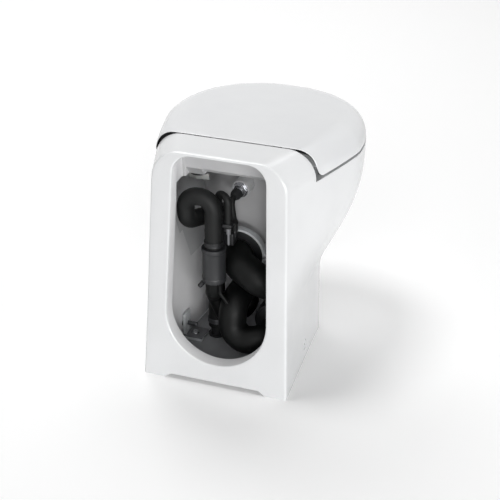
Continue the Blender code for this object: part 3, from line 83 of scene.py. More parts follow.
# ---- materials
def linear(text):
    # "#rrggbb" as written in sRGB, turned to the linear colour that a socket takes
    shares = [int(text[i:i + 2], 16) / 255 for i in (1, 3, 5)]
    return [s / 12.92 if s <= 0.04045 else ((s + 0.055) / 1.055) ** 2.4 for s in shares] + [1.0]


def addNode(tree, kind, inputs=None, **settings):
    # an input takes a plain value, a socket, or a node, which stands for its first output
    family = "" if kind.startswith(("Function", "NodeGroup")) else tree.bl_idname.replace("Tree", "")
    node = tree.nodes.new(family + kind)
    for key, value in settings.items():
        setattr(node, key, value)
    for key, value in (inputs or {}).items():
        if isinstance(value, bpy.types.Node):
            value = value.outputs[0]
        if isinstance(value, bpy.types.NodeSocket):
            tree.links.new(value, node.inputs[key])
        else:
            node.inputs[key].default_value = value
    return node


def surface(name, dark, light, patch, grain, depth, rough, sockets):
    made = bpy.data.materials.new(name)
    made.use_nodes = True
    tree = made.node_tree
    where = addNode(tree, "TexCoord").outputs["Object"]
    cloud = addNode(tree, "TexNoise",
                    {"Vector": where, "Scale": 1000 / patch, "Detail": 3, "Roughness": 0.55})
    fine = addNode(tree, "TexNoise", {"Vector": where, "Scale": 1000 / grain, "Detail": 2})
    ramp = addNode(tree, "ValToRGB", {"Fac": cloud})
    for stop, place, tone in zip(ramp.color_ramp.elements, (0.3, 0.7), (dark, light)):
        stop.position = place
        stop.color = linear(tone)
    gloss = addNode(tree, "MapRange", {"Value": fine, "To Min": rough[0], "To Max": rough[1]})
    relief = addNode(tree, "Bump", {"Height": fine, "Strength": 0.6, "Distance": depth / 1000})
    shader = tree.nodes["Principled BSDF"]
    for key, value in sockets.items():
        shader.inputs[key].default_value = value
    for key, node in {"Base Color": ramp, "Roughness": gloss, "Normal": relief}.items():
        tree.links.new(node.outputs[0], shader.inputs[key])
    return made


# slot, name, dark tone, light tone, then in millimetres the patches of tone, the grain and the relief,
# then the lowest and highest roughness, and other sockets
looks = {
    # vitreous china under clear glaze: slow waves in the glaze, faint pooling tone
    "china": ("glazed_china", "glazedVitreousChina", "#dadbdc", "#dedfe0", 90, 26, 0.05, (0.2, 0.26),
              {"Coat Weight": 0.16, "Coat Roughness": 0.25}),
    # the same china where no glaze is sprayed: dull and sandy
    "bisque": ("glazed_china", "unglazedChina", "#e3e3e4", "#eaeaeb", 60, 3.5, 0.12, (0.5, 0.7), {}),
    # painted shade: the same unglazed china, darker, for the walls deep under the deck and behind the bowl
    # that lie in shade
    "dusty": ("glazed_china", "dustyChina", "#b0b0b1", "#b8b8b9", 60, 3.5, 0.12, (0.5, 0.7), {}),
    # compression moulded urea duroplast: even and satin
    "duroplast": ("gloss_shell", "mouldedDuroplast", "#d8d9db", "#dcddde", 120, 30, 0.003, (0.22, 0.26),
                  {"Coat Weight": 0.08, "Coat Roughness": 0.25}),
    # extruded EPDM hose: matt with a greyish bloom
    "hose": ("hose_rubber", "extrudedRubberHose", "#0f1010", "#151616", 30, 2.2, 0.06, (0.5, 0.64),
             {"IOR": 1.33}),
    # darker and smoother moulded bend
    "bend": ("hose_rubber", "mouldedRubberBend", "#070808", "#0d0e0e", 34, 2.4, 0.05, (0.42, 0.55),
             {"IOR": 1.25}),
    "rubber": ("black_rubber", "softBlackRubber", "#0f1011", "#17181a", 20, 1.8, 0.06, (0.6, 0.75), {}),
    "pad": ("soft_rubber", "softGreyRubber", "#8d8e90", "#98999b", 14, 1.6, 0.05, (0.6, 0.75), {"IOR": 1.48}),
    # injection moulded plastics with a fine spark texture
    "sleeve": ("grey_plastic", "mouldedPolypropylene", "#1f2022", "#28292b", 40, 1.5, 0.05, (0.38, 0.5),
               {"IOR": 1.49}),
    "black": ("black_plastic", "mouldedBlackNylon", "#111214", "#18191b", 26, 1.5, 0.05, (0.36, 0.5), {}),
    "flange": ("black_plastic", "mouldedBlackFlange", "#101112", "#17181a", 36, 1.6, 0.05, (0.35, 0.48), {}),
    "greyPlastic": ("grey_plastic", "mouldedGreyNylon", "#6c6d70", "#78797c", 20, 1.5, 0.05, (0.36, 0.5), {}),
    # nylon painted down to grey, as painted shade for the wing nuts deep under the deck
    "nylon": ("white_nylon", "naturalNylon", "#9a9b9a", "#a5a6a4", 18, 1.6, 0.04, (0.34, 0.45),
              {"IOR": 1.53, "Subsurface Weight": 0.05, "Subsurface Scale": 0.002}),
    "plate": ("grey_plate", "foamedPvcSheet", "#8b8c8f", "#97989b", 45, 2.5, 0.08, (0.45, 0.6), {}),
    # polished stainless steel with light turning marks, and a worn band of it
    "steel": ("bright_steel", "polishedStainless", "#a6a7aa", "#bcbdc0", 12, 0.9, 0.012, (0.2, 0.32),
              {"Metallic": 1.0}),
    "dullSteel": ("bright_steel", "wornBandSteel", "#4b4c4e", "#5e5f61", 8, 0.9, 0.02, (0.4, 0.55),
                  {"Metallic": 0.9}),
    # zinc plate: bluish grey, blotched, duller than stainless
    "zinc": ("pale_zinc", "zincPlatedSteel", "#c0c3c5", "#d2d5d7", 9, 1.3, 0.03, (0.4, 0.52),
             {"Metallic": 0.12}),
    "can": ("dark_paint", "paintedMotorCan", "#1d1e20", "#26272a", 30, 2.0, 0.05, (0.35, 0.5), {}),
}
finishes = {key: surface(*row[1:]) for key, row in looks.items()}
print("materials made")


# ---- helpers for meshes
def camel(node):
    words = node.title().replace("_", "")
    return words[0].lower() + words[1:]


def quarter(steps):
    # sine and cosine at even steps of a quarter turn
    turns = [pi / 2 * i / steps for i in range(steps + 1)]
    return [(sin(turn), cos(turn)) for turn in turns]


def meshOf(name, points, faces):
    mesh = bpy.data.meshes.new(name)
    mesh.from_pydata([tuple(p) for p in points], [], faces)
    work = bmesh.new()
    work.from_mesh(mesh)
    bmesh.ops.remove_doubles(work, verts=work.verts, dist=1e-6)
    bmesh.ops.recalc_face_normals(work, faces=work.faces)
    work.to_mesh(mesh)
    work.free()
    return placed(name, mesh)


def baked(thing):
    # turns live modifiers into a plain mesh
    depsgraph = bpy.context.evaluated_depsgraph_get()
    mesh = bpy.data.meshes.new_from_object(thing.evaluated_get(depsgraph))
    mesh.name = thing.name
    thing.modifiers.clear()
    thing.data = mesh
    return thing


def smooth(thing, angle=35):
    # smooth faces, with edges kept sharp only where the surface turns by more than the angle
    mesh = thing.data
    mesh.shade_smooth()
    work = bmesh.new()
    work.from_mesh(mesh)
    limit = angle * pi / 180
    for edge in work.edges:
        edge.smooth = len(edge.link_faces) == 2 and edge.calc_face_angle(0) < limit
    work.to_mesh(mesh)
    work.free()
    return thing


def settle(thing, look, node, body="toilet"):
    # gives the piece its finish, its body and the CAD node that it stands for
    if not thing.data.materials:
        thing.data.materials.append(finishes[look])
    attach(thing, body)
    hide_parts(node)


def dress(thing, names, pick):
    # several finishes on one piece: pick gives each face's place in the names
    thing.data.materials.clear()
    for name in names:
        thing.data.materials.append(finishes[name])
    for face in thing.data.polygons:
        face.material_index = pick(face)


def skin(name, rings, closed=False):
    count = len(rings[0])
    points = [p for ring in rings for p in ring]
    faces = []
    for row in range(len(rings) if closed else len(rings) - 1):
        one, two = row * count, (row + 1) % len(rings) * count
        faces += [(one + i, one + (i + 1) % count, two + (i + 1) % count, two + i) for i in range(count)]
    if not closed:
        faces += [tuple(range(count)), tuple(range(len(points) - count, len(points)))]
    return meshOf(name, points, faces)


def sideways(along):
    guide = Vector((0, 1, 0)) if abs(along.z) > 0.9 else Vector((0, 0, 1))
    first = guide.cross(along).normalized()
    return first, along.cross(first)


def hoopAt(centre, first, second, radius, count):
    return [centre + (first * cos(2 * pi * i / count) + second * sin(2 * pi * i / count)) * radius
            for i in range(count)]


def eased(rows, radius):
    # rounds the corners of a turned profile, so that every edge catches light
    out = []
    steps = 3
    for i, (r, far) in enumerate(rows):
        here = Vector((r, far))
        before = Vector(rows[i - 1]) - here
        after = Vector(rows[(i + 1) % len(rows)]) - here
        room = min(radius, before.length * 0.45, after.length * 0.45)
        end = rows[0][0] <= 0 and i in (0, len(rows) - 1)
        if end or room < 1e-5 or before.angle(after, pi) > 2.8:
            out.append((r, far))
            continue
        one = here + before.normalized() * room
        two = here + after.normalized() * room
        for t in (k / steps for k in range(steps + 1)):
            out.append(tuple(one * (1 - t) ** 2 + here * 2 * t * (1 - t) + two * t ** 2))
    return out


def lathe(name, start, direction, profile, ease=0.0004, count=56):
    # turns a profile of (radius, distance along), with a bore where it starts off the axis
    along = Vector(direction).normalized()
    bored = profile[0][0] > 0
    rings = [hoopAt(put(*start) + along * far, *sideways(along), r, count)
             for r, far in eased(profile, ease) if bored or r > 1e-7]
    return smooth(skin(name, rings, bored))


def turned(node, look, start, direction, profile, ease=0.0004, count=56, body="toilet"):
    settle(lathe(camel(node), start, direction, profile, ease, count), look, node, body)


def washer(outer, inner, thick):
    return [(outer, 0), (outer, thick), (inner, thick), (inner, 0)]


def brick(name, centre, size, ease=0.0):
    work = bmesh.new()
    bmesh.ops.create_cube(work, size=1.0)
    bmesh.ops.scale(work, vec=Vector(size), verts=work.verts)
    bmesh.ops.translate(work, vec=put(*centre), verts=work.verts)
    if ease > 0:
        bmesh.ops.bevel(work, geom=work.edges[:], offset=ease, segments=3, affect="EDGES", profile=0.5)
    mesh = bpy.data.meshes.new(name)
    work.to_mesh(mesh)
    work.free()
    return placed(name, mesh)


def bar(name, across, depth, height, radius, count=40):
    # a round bar that runs along the one measure that is given as a pair
    ends = [put(*(v[k] if isinstance(v, tuple) else v for v in (across, depth, height))) for k in (0, 1)]
    first, second = sideways((ends[1] - ends[0]).normalized())
    return skin(name, [hoopAt(end, first, second, radius, count) for end in ends])


def slab(name, line, depth, reach):
    # an outline of (across, height) that runs from this depth toward the nose
    ring = [put(a, depth, z) for a, z in line]
    return skin(name, [ring, [p + toNose * reach for p in ring]])


def slabAcross(name, line, half):
    # an outline of (depth, height) that runs across the middle
    return skin(name, [[put(a, d, z) for d, z in line] for a in (-half, half)])


def carve(thing, tools, kind="DIFFERENCE"):
    # joins or cuts with finished tools, then drops the tools
    for tool in tools:
        step = thing.modifiers.new(tool.name, "BOOLEAN")
        step.operation = kind
        step.solver = "EXACT"
        step.object = tool
        baked(thing)
        bpy.data.objects.remove(tool, do_unlink=True)
    return thing


def softened(thing, width, angle=50, segments=2):
    # a small bevel on the hard edges that cutting leaves
    step = thing.modifiers.new("softEdges", "BEVEL")
    step.width = width
    step.segments = segments
    step.limit_method = "ANGLE"
    step.angle_limit = angle * pi / 180
    return smooth(baked(thing))


# ---- node trees: all take the same inputs, and each makes one shape in the finish that is given
sockets = {"Path": "Geometry", "Count": "Int", "Sides": "Int", "Radius": "Float", "Depth": "Float",
           "Size": "Vector", "Start": "Vector", "Step": "Vector", "Centre": "Vector", "Turn": "Vector",
           "Finish": "Material"}


def treeOf(name, build):
    tree = bpy.data.node_groups.new(name, "GeometryNodeTree")
    for label, kind in sockets.items():
        tree.interface.new_socket(label, in_out="INPUT", socket_type="NodeSocket" + kind)
    tree.interface.new_socket("Shape", in_out="OUTPUT", socket_type="NodeSocketGeometry")
    given = addNode(tree, "NodeGroupInput").outputs
    real = addNode(tree, "RealizeInstances", {"Geometry": build(tree, given)})
    named = addNode(tree, "SetMaterial", {"Geometry": real, "Material": given["Finish"]})
    addNode(tree, "NodeGroupOutput", {"Shape": named})
    return tree


def grown(name, tree, look, path=None, **values):
    # what the tree makes of these values, as a plain mesh
    thing = placed(name, path or bpy.data.meshes.new(name))
    step = thing.modifiers.new(name, "NODES")
    step.node_group = tree
    values["Finish"] = finishes[look]
    for item in tree.interface.items_tree:
        if item.in_out == "INPUT" and item.name in values:
            step[item.identifier] = values[item.name]
    return baked(thing)


def wallAlongPath(tree, given):
    path = addNode(tree, "MeshToCurve", {"Mesh": given["Path"]})
    ring = addNode(tree, "CurvePrimitiveCircle",
                   {"Resolution": given["Sides"], "Radius": given["Radius"]})
    wall = addNode(tree, "CurveToMesh", {"Curve": path, "Profile Curve": ring, "Fill Caps": True})
    return addNode(tree, "MergeByDistance", {"Geometry": wall, "Distance": 1e-6})


def blocksRoundAxis(tree, given):
    # the circle lies flat, and each block points away from its middle
    ring = addNode(tree, "MeshCircle", {"Vertices": given["Count"], "Radius": given["Radius"]})
    block = addNode(tree, "MeshCube", {"Size": given["Size"]})
    place = addNode(tree, "InputPosition")
    turn = addNode(tree, "FunctionNodeAlignRotationToVector", {"Vector": place}, axis="X")
    spread = addNode(tree, "InstanceOnPoints", {"Points": ring, "Instance": block, "Rotation": turn})
    return addNode(tree, "Transform",
                   {"Geometry": spread, "Translation": given["Centre"], "Rotation": given["Turn"]})


def copiesAlongLine(tree, given, unit):
    line = addNode(tree, "MeshLine",
                   {"Count": given["Count"], "Start Location": given["Start"], "Offset": given["Step"]},
                   mode="OFFSET")
    return addNode(tree, "InstanceOnPoints", {"Points": line, "Instance": unit})


def ridgesAlongLine(tree, given):
    block = addNode(tree, "MeshCube", {"Size": given["Size"]})
    tilted = addNode(tree, "Transform", {"Geometry": block, "Rotation": (0, pi / 4, 0)})
    return copiesAlongLine(tree, given, tilted)


def ringsAlongThread(tree, given):
    ring = addNode(tree, "CurvePrimitiveCircle", {"Resolution": 40, "Radius": given["Radius"]})
    bead = addNode(tree, "CurvePrimitiveCircle", {"Resolution": 6, "Radius": given["Depth"]})
    coil = addNode(tree, "CurveToMesh", {"Curve": ring, "Profile Curve": bead})
    stood = addNode(tree, "Transform", {"Geometry": coil, "Rotation": given["Turn"]})
    return copiesAlongLine(tree, given, stood)


sweep = treeOf("wallAlongPath", wallAlongPath)
around = treeOf("blocksRoundAxis", blocksRoundAxis)
ridges = treeOf("ridgesAlongLine", ridgesAlongLine)
thread = treeOf("ringsAlongThread", ringsAlongThread)


def threaded(thing, look, **values):
    # cuts stacked rings out of a turned piece
    carve(thing, [grown("grooves", thread, look, **values)])
    thing.data.materials.clear()
    return smooth(thing)


def courseOf(places, bend):
    # straight runs joined by arcs, as points
    points = [put(*p) for p in places]
    line = [points[0]]
    steps = 14
    for before, corner, after in zip(points, points[1:], points[2:]):
        one = (before - corner).normalized()
        two = (after - corner).normalized()
        half = one.angle(two) / 2
        centre = corner + (one + two).normalized() * (bend / sin(half))
        begin = corner + one * (bend / tan(half)) - centre
        finish = corner + two * (bend / tan(half)) - centre
        sweepAngle = begin.angle(finish)
        for t in (i / steps for i in range(steps + 1)):
            mix = begin * sin((1 - t) * sweepAngle) + finish * sin(t * sweepAngle)
            line.append(centre + mix / sin(sweepAngle))
    return line + [points[-1]]


# ---- the plan of the body at any height
shell = {
    # backHalf and power run from the floor to the top
    "depth": 0.449, "rim": 0.372, "deck": 0.425, "deckFront": 0.111, "lean": 0.036,
    "backHalf": (0.134, 0.1175), "backEdge": 0.0042, "shoulder": 0.048, "wall": 0.01, "rimThick": 0.02,
    "backWall": 0.026, "bend": 0.222, "power": (2.7, 2.2), "rimEase": 0.0024,
    # height, half width, depth of the widest place, depth of the nose
    "rows": [
        (0.000, 0.1165, 0.236, 0.302), (0.11, 0.116, 0.236, 0.302), (0.14, 0.1165, 0.236, 0.303),
        (0.155, 0.119, 0.236, 0.305), (0.17, 0.125, 0.236, 0.309), (0.19, 0.135, 0.238, 0.319),
        (0.21, 0.145, 0.24, 0.333), (0.23, 0.1545, 0.242, 0.35), (0.25, 0.163, 0.244, 0.368),
        (0.27, 0.1705, 0.246, 0.387), (0.29, 0.1762, 0.248, 0.404), (0.31, 0.18, 0.249, 0.42),
        (0.33, 0.182, 0.25, 0.433), (0.35, 0.1828, 0.25, 0.442), (0.372, 0.183, 0.25, 0.449),
        (0.425, 0.183, 0.25, 0.449),
    ],
}
table = np.array(shell["rows"])


def flowing(height, column):
    # monotone cubic through the rows, so that the flank has no kinks
    z = table[:, 0]
    v = table[:, column]
    slopes = np.diff(v) / np.diff(z)
    tangents = np.concatenate(([slopes[0]], [0 if a * b <= 0 else 2 * a * b / (a + b)
                                            for a, b in zip(slopes, slopes[1:])], [slopes[-1]]))
    i = int(np.clip(np.searchsorted(z, height) - 1, 0, len(z) - 2))
    span = z[i + 1] - z[i]
    t = min(max((height - z[i]) / span, 0), 1)
    return float(v[i] * (1 + 2 * t) * (1 - t) ** 2 + v[i + 1] * t * t * (3 - 2 * t)
                 + span * (tangents[i] * t * (1 - t) ** 2 - tangents[i + 1] * t * t * (1 - t)))


def leanAt(height):
    return shell["lean"] * height / shell["deck"]


def backHalfAt(height):
    low, high = shell["backHalf"]
    return low + (high - low) * height / shell["deck"]


def flank(height, inset):
    half, widest = flowing(height, 1), flowing(height, 2)
    start = np.array((leanAt(height), backHalfAt(height) - inset))
    end = np.array((widest, half - inset))
    corner = np.array((shell["bend"], half - inset))
    one = start + (corner - start) * 2 / 3
    two = end + (corner - end) * 2 / 3
    t = np.linspace(0, 1, 90)[:, None]
    line = start * (1 - t) ** 3 + 3 * one * t * (1 - t) ** 2 + 3 * two * t ** 2 * (1 - t) + end * t ** 3
    return line[:, 0], line[:, 1]


def plan(height, inset, rear, corner, noseInset=None, steps=(10, 6, 20, 34)):
    # the body's outline at this height, with steps on its back, corners, sides and front
    half, widest, nose = (flowing(height, k) for k in (1, 2, 3))
    backSteps, cornerSteps, sideSteps, frontSteps = steps
    depths, halves = flank(height, inset)
    low, high = shell["power"]
    power = low + (high - low) * min(max(height / shell["rim"], 0), 1)
    turnStart = rear + corner
    flat = float(np.interp(turnStart, depths, halves)) - corner
    right = [(flat * i / backSteps, rear) for i in range(backSteps)]
    right += [(flat + corner * s, turnStart - corner * c) for s, c in quarter(cornerSteps)[:-1]]
    for i in range(sideSteps):
        depth = turnStart + (widest - turnStart) * i / sideSteps
        right.append((float(np.interp(depth, depths, halves)), depth))
    wide = half - inset
    long = nose - (inset if noseInset is None else noseInset) - widest
    # steps are closer where the curve turns faster, at both ends
    right += [(wide * max(c, 0) ** (2 / power), widest + long * s ** (2 / power))
              for s, c in quarter(frontSteps)]
    right[-1] = (0, widest + long)
    return right + [(-a, d) for a, d in right[1:-1]][::-1]


def level(outline, height):
    return [put(a, d, height) for a, d in outline]


def oval(depth, halfDepth, halfWidth):
    points = []
    power, count = 2.1, 96
    for turn in (2 * pi * i / count for i in range(count)):
        a = abs(cos(turn)) ** (2 / power) * halfWidth * (1 if cos(turn) >= 0 else -1)
        d = abs(sin(turn)) ** (2 / power) * halfDepth * (1 if sin(turn) >= 0 else -1)
        points.append((a, depth + d))
    return points


def drawnIn(height, top, radius):
    # how far a quarter round that ends at the top has turned in at this height
    rise = min(max(height - (top - radius), 0), radius)
    return radius - sqrt(radius ** 2 - rise ** 2)


# ---- ceramic body: one slip cast piece with bowl, spigot, inlet boss and rear opening
bowl = {
    # height, depth of the centre, half depth, half width
    "rows": [
        (0.158, 0.195, 0.028, 0.028), (0.164, 0.199, 0.037, 0.036), (0.176, 0.208, 0.047, 0.044),
        (0.194, 0.225, 0.058, 0.054), (0.216, 0.243, 0.071, 0.067), (0.25, 0.262, 0.088, 0.088),
        (0.3, 0.283, 0.105, 0.108), (0.34, 0.289, 0.113, 0.116), (0.372, 0.29, 0.115, 0.118),
    ],
    "wall": 0.009, "lipEase": 0.006,
    # height, depth of the end, radius, bore radius, depth of the root
    "spigot": (0.2, 0.14, 0.0336, 0.025, 0.186), "inlet": (0.322, 0.14, 0.016, 0.0085, 0.2),
}
opening = {
    "floorHalf": 0.0962, "topHalf": 0.0817, "bottom": 0.041, "arc": 0.133, "top": 0.4195, "corner": 0.033,
    "lipEase": 0.003,
}


def openingLine(grow):
    # the outline of the rear opening, U shaped below and square with round corners above
    slope = (opening["topHalf"] - opening["floorHalf"]) / shell["deck"]
    half = opening["floorHalf"] + slope * opening["arc"] + grow
    drop = opening["arc"] - opening["bottom"] + grow
    turns = [pi / 2 * i / 30 for i in range(-30, 31)]
    points = [(half * sin(turn), opening["arc"] - drop * cos(turn)) for turn in turns]
    top = opening["floorHalf"] + slope * (opening["top"] - opening["corner"]) + grow
    corner = opening["corner"] + grow
    for side in (1, -1):
        points += [(side * (top - corner * (1 - c)), opening["top"] + grow - corner * (1 - s))
                   for s, c in quarter(12)[::side]]
    return points


# ---- how the body is hollowed, with the holes for the hinge and the floor screws
# pocketSize is width and height, footHalf is the half width at the floor and at the top
hollow = {"corner": 0.012, "pocketSize": (0.182, 0.084), "pocketMiddle": 0.372, "pocketEase": 0.006,
          "pocketShort": 0.0107, "footHalf": (0.095, 0.082), "footHigh": 0.008, "footDeep": 0.06}
hinge = {"depth": 0.127, "height": 0.413, "across": 0.072, "pin": 0.003, "ear": 0.0068, "earWidth": 0.012,
         "earGap": 0.0008, "post": 0.015, "clear": 0.0004, "boltHole": 0.0055}
bracket = {"thick": 0.0055, "foot": 0.04, "width": 0.04, "tall": 0.046, "post": 0.026, "tooth": 0.0018,
           "teeth": 10, "depth": 0.141, "sideHeight": 0.029, "sideHole": 0.0105,
           "screwIn": 0.02, "screwHole": 0.0041}


def makeBody():
    deck, rim, edge, shoulder = (shell[key] for key in ("deck", "rim", "backEdge", "shoulder"))
    rings = [level(plan(z, 0, leanAt(z), edge), z)
             for z in (*np.linspace(0, 0.13, 7), *np.linspace(0.14, rim, 32))]
    for s, c in quarter(14):
        height = deck - shoulder + shoulder * s
        outline = plan(height, shoulder * (1 - c), leanAt(height) + drawnIn(height, deck, edge), edge)
        rings.append(level(outline, height))
    body = skin("ceramicBody", rings)
    far, room = shell["depth"] * 2, deck - rim
    carve(body, [brick("aboveRim", (0, shell["deckFront"] + far / 2, rim + room), (far, far, room * 2))])
    softened(body, shell["rimEase"], 50, 4)

    hollowTop = rim - shell["rimThick"]
    inner = []
    for height in (-0.01, 0, 0.06, 0.11, *np.linspace(0.14, hollowTop, 18)):
        at = max(height, 0)
        rear = leanAt(at) + shell["backWall"]
        inner.append(level(plan(at, shell["wall"], rear, hollow["corner"], None, (6, 5, 12, 20)), height))
    pocketBack = leanAt(0.33) + shell["backWall"]
    pocketFront = shell["deckFront"] - hollow["pocketShort"]
    wide, tall = hollow["pocketSize"]
    pocket = brick("deckPocket", (0, (pocketBack + pocketFront) / 2, hollow["pocketMiddle"]),
                   (wide, pocketFront - pocketBack, tall), hollow["pocketEase"])
    # the rim's rear underside slopes away from the pocket's front wall, and is thin between the hinge bolts
    near, low = pocketFront - 0.002, hollowTop - 0.012
    under = [
        slabAcross("underRim", ((near, 0.3705), (near, low), (0.1145, low), (0.1145, hollowTop),
                                (pocketFront + 0.0006, 0.369)), 0.085),
        slabAcross("underBolts", ((near, 0.3705), (near, low), (0.15, low), (0.15, 0.3605), (0.1125, 0.3605),
                                  (0.109, 0.366), (pocketFront + 0.0006, 0.37)), 0.057)]
    carve(body, [skin("hollow", inner), pocket] + under)

    wall, ease = bowl["wall"], bowl["lipEase"]
    outer = [level(oval(d, halfD + wall, halfW + wall), z - wall)
             for z, d, halfD, halfW in bowl["rows"] if z <= hollowTop + wall]
    high, depth, halfDepth, halfWidth = bowl["rows"][-1]
    outer.append(level(oval(depth, halfDepth + wall, halfWidth + wall), hollowTop + shell["rimThick"] / 2))
    spigotZ, spigotEnd, spigotR, spigotBore, spigotRoot = bowl["spigot"]
    inletZ, inletEnd, inletR, inletBore, inletRoot = bowl["inlet"]
    carve(body, [skin("bowlOutside", outer),
                 bar("spigot", 0, (spigotRoot, spigotEnd), spigotZ, spigotR, 64),
                 bar("inletBoss", 0, (inletRoot, inletEnd), inletZ, inletR, 48)], "UNION")
    cup = [level(oval(d, halfD, halfW), z) for z, d, halfD, halfW in bowl["rows"][:-1]]
    for grow, rise in [(ease * (1 - c), ease * s - ease) for s, c in quarter(6)] + [(ease, ease)]:
        cup.append(level(oval(depth, halfDepth + grow, halfWidth + grow), high + rise))
    carve(body, [skin("bowlInside", cup),
                 bar("spigotBore", 0, (spigotRoot + spigotBore / 2, spigotEnd - 0.01), spigotZ,
                     spigotBore, 64),
                 bar("inletBore", 0, (inletRoot, inletEnd - 0.01), inletZ, inletBore, 32)])

    # the opening's tool is flared at the back face, which leaves a rolled lip
    ease = opening["lipEase"]
    flare = [(-0.03, ease)] + [(ease * (1 - c), ease * (1 - s)) for s, c in quarter(5)]
    flare.append((shell["backWall"] * 1.15, 0))
    low, top = hollow["footHalf"]
    high = hollow["footHigh"]
    foot = ((-low, -high), (low, -high), (low, 0), (top, high), (-top, high), (-low, 0))
    tools = [skin("rearOpening", [[put(a, leanAt(z) + out, z) for a, z in openingLine(grow)]
                                  for out, grow in flare]),
             slab("footRecess", foot, -0.03, hollow["footDeep"] + 0.03)]
    for side in (-1, 1):
        tools += [bar("hingeHole", side * hinge["across"], hinge["depth"], (0.392, 0.332),
                      hinge["boltHole"], 24),
                  bar("sideHole", (side * 0.16, side * 0.094), bracket["depth"], bracket["sideHeight"],
                      bracket["sideHole"], 32)]
    carve(body, tools)
    cupZ, *cupColumns = zip(*bowl["rows"])

    def pick(face):
        x, y, z = face.center
        depth = backY - y
        middle, reach, spread = (np.interp(z, cupZ, column) + 0.004 for column in cupColumns)
        inCup = z > cupZ[0] - 0.004 and ((depth - middle + 0.004) / reach) ** 2 + (x / spread) ** 2 < 1
        inside = depth > leanAt(z) + 0.01 and z < 0.414 and (z < rim or abs(x) < 0.0925)
        if inCup or not inside or depth >= 0.236 or (z > 0.36 and depth > 0.112):
            return 0
        if abs(x) >= np.interp(depth, *flank(max(min(z, 0.37), 0), 0.006)):
            return 0
        # painted shade: the pocket's front wall and the walls behind the bowl that face the back get the
        # darker china
        pocketWall = face.normal.y > 0.5 and z > 0.36 and abs(depth - pocketFront) < 0.004
        behindBowl = face.normal.y > 0.3 and z > 0.2 and depth > pocketFront + 0.004
        if pocketWall or behindBowl:
            return 2
        return 0 if depth > 0.17 and z > 0.15 and face.normal.z > 0.2 else 1

    dress(body, ("china", "bisque", "dusty"), pick)
    return smooth(body, 38)


settle(makeBody(), "china", "ceramic_body")
print("ceramic body made")


# ---- lid and seat on the hinge line
lid = {"low": 0.3765, "back": 0.115, "backEdge": 0.0012, "drop": 0.011, "skirt": 0.007, "top": 0.011,
       "lowEase": 0.0016, "innerRound": 0.03, "pocketHalf": 0.104, "pocketFront": 0.152, "pocketTop": 0.4203,
       "backShoulder": 0.034, "blend": 0.125, "lip": 0.0007, "lipReach": 0.012, "rearCorner": 0.022,
       "corner": 0.0025, "hollowBack": 0.006, "hollowEdge": 0.0003, "padTop": 0.4155, "padHole": 0.0083}
seat = {"low": 0.3765, "top": 0.3975, "inset": 0.0112, "noseInset": 0.004, "back": 0.158, "corner": 0.034,
        "edge": 0.007, "holeDepth": 0.288, "holeHalf": (0.099, 0.108), "padHole": 0.0093}
# across and depth of the rubber feet
feet = {"lid": (0.126, 0.3), "front": (0.082, 0.372), "back": (0.121, 0.206)}
earIn = hinge["across"] - hinge["post"] / 2 - hinge["earGap"] - hinge["earWidth"]
earOut = hinge["across"] + hinge["post"] / 2 + hinge["earGap"]


def crowned(point):
    # the lid's top falls toward the nose, by the same share at every height
    share = max(backY - point.y - lid["back"], 0) / (shell["depth"] - lid["back"])
    rise = max(point.z - lid["low"], 0) / (shell["deck"] - lid["low"])
    return Vector((point.x, point.y, point.z - lid["drop"] * share ** 2 * rise))


def lidRings(inset, top, back, backEdge, low, radius, backRadius, steps):
    base = top - radius
    rows = [(low, inset)] if low < base else []
    # finer toward the top, where the round turns flat
    for turn in (pi / 2 * (i / steps) ** 0.85 for i in range(steps + 1)):
        if base + radius * sin(turn) > low:
            rows.append((base + radius * sin(turn), inset + radius * (1 - cos(turn))))
    rings = []
    for height, tuck in rows:
        rear = back + drawnIn(height, top, backEdge)
        frontLine = plan(height, tuck, rear, lid["corner"])
        backLine = plan(height, inset + drawnIn(height, top, backRadius), rear, lid["corner"])
        # the shoulder is tighter at the seam and eases to the full round
        outline = []
        for (a, d), (b, e) in zip(frontLine, backLine):
            share = min(max((d - back) / lid["blend"], 0), 1)
            share = share * share * (3 - 2 * share)
            outline.append((b + (a - b) * share, e + (d - e) * share))
        rings.append(level(outline, height))
    middle = (back + shell["depth"]) / 2
    for part in (0.92, 0.8, 0.62, 0.42, 0.2, 0.05):
        rings.append(level([(a * part, middle + (d - middle) * part) for a, d in outline], height))
    return rings


def lipTool(low):
    # thins the rear of the shell to a lip, so that the seam looks into the dark hollow
    radius = lid["backShoulder"] - lid["lip"]
    top = shell["deck"] - lid["lip"]
    line = []
    for height in [low] + [top - radius + radius * s for s, c in quarter(8)]:
        tuck = lid["lip"] + drawnIn(height, top, radius)
        line.append((float(np.interp(lid["back"], *flank(height, tuck))), height))
    line += [(-a, z) for a, z in line[::-1]]
    return slab("lipTool", line, lid["back"] - 0.006, lid["lipReach"] + 0.006)


def cornerTool(low):
    # rounds the lower rear corner of each flank
    ease, back = lid["rearCorner"], lid["back"]
    line = [(back - ease, low), (back + ease, low)]
    line += [(back + ease - ease * s, lid["low"] + ease * (1 - c)) for s, c in quarter(8)]
    return slabAcross("cornerTool", line + [(back - ease, lid["low"] + ease)], 0.3)


def onPin(name, side, inner, outer, radius, count=40):
    # a bar on the hinge line, between two distances from the middle
    return bar(name, (side * inner, side * outer), hinge["depth"], hinge["height"], radius, count)


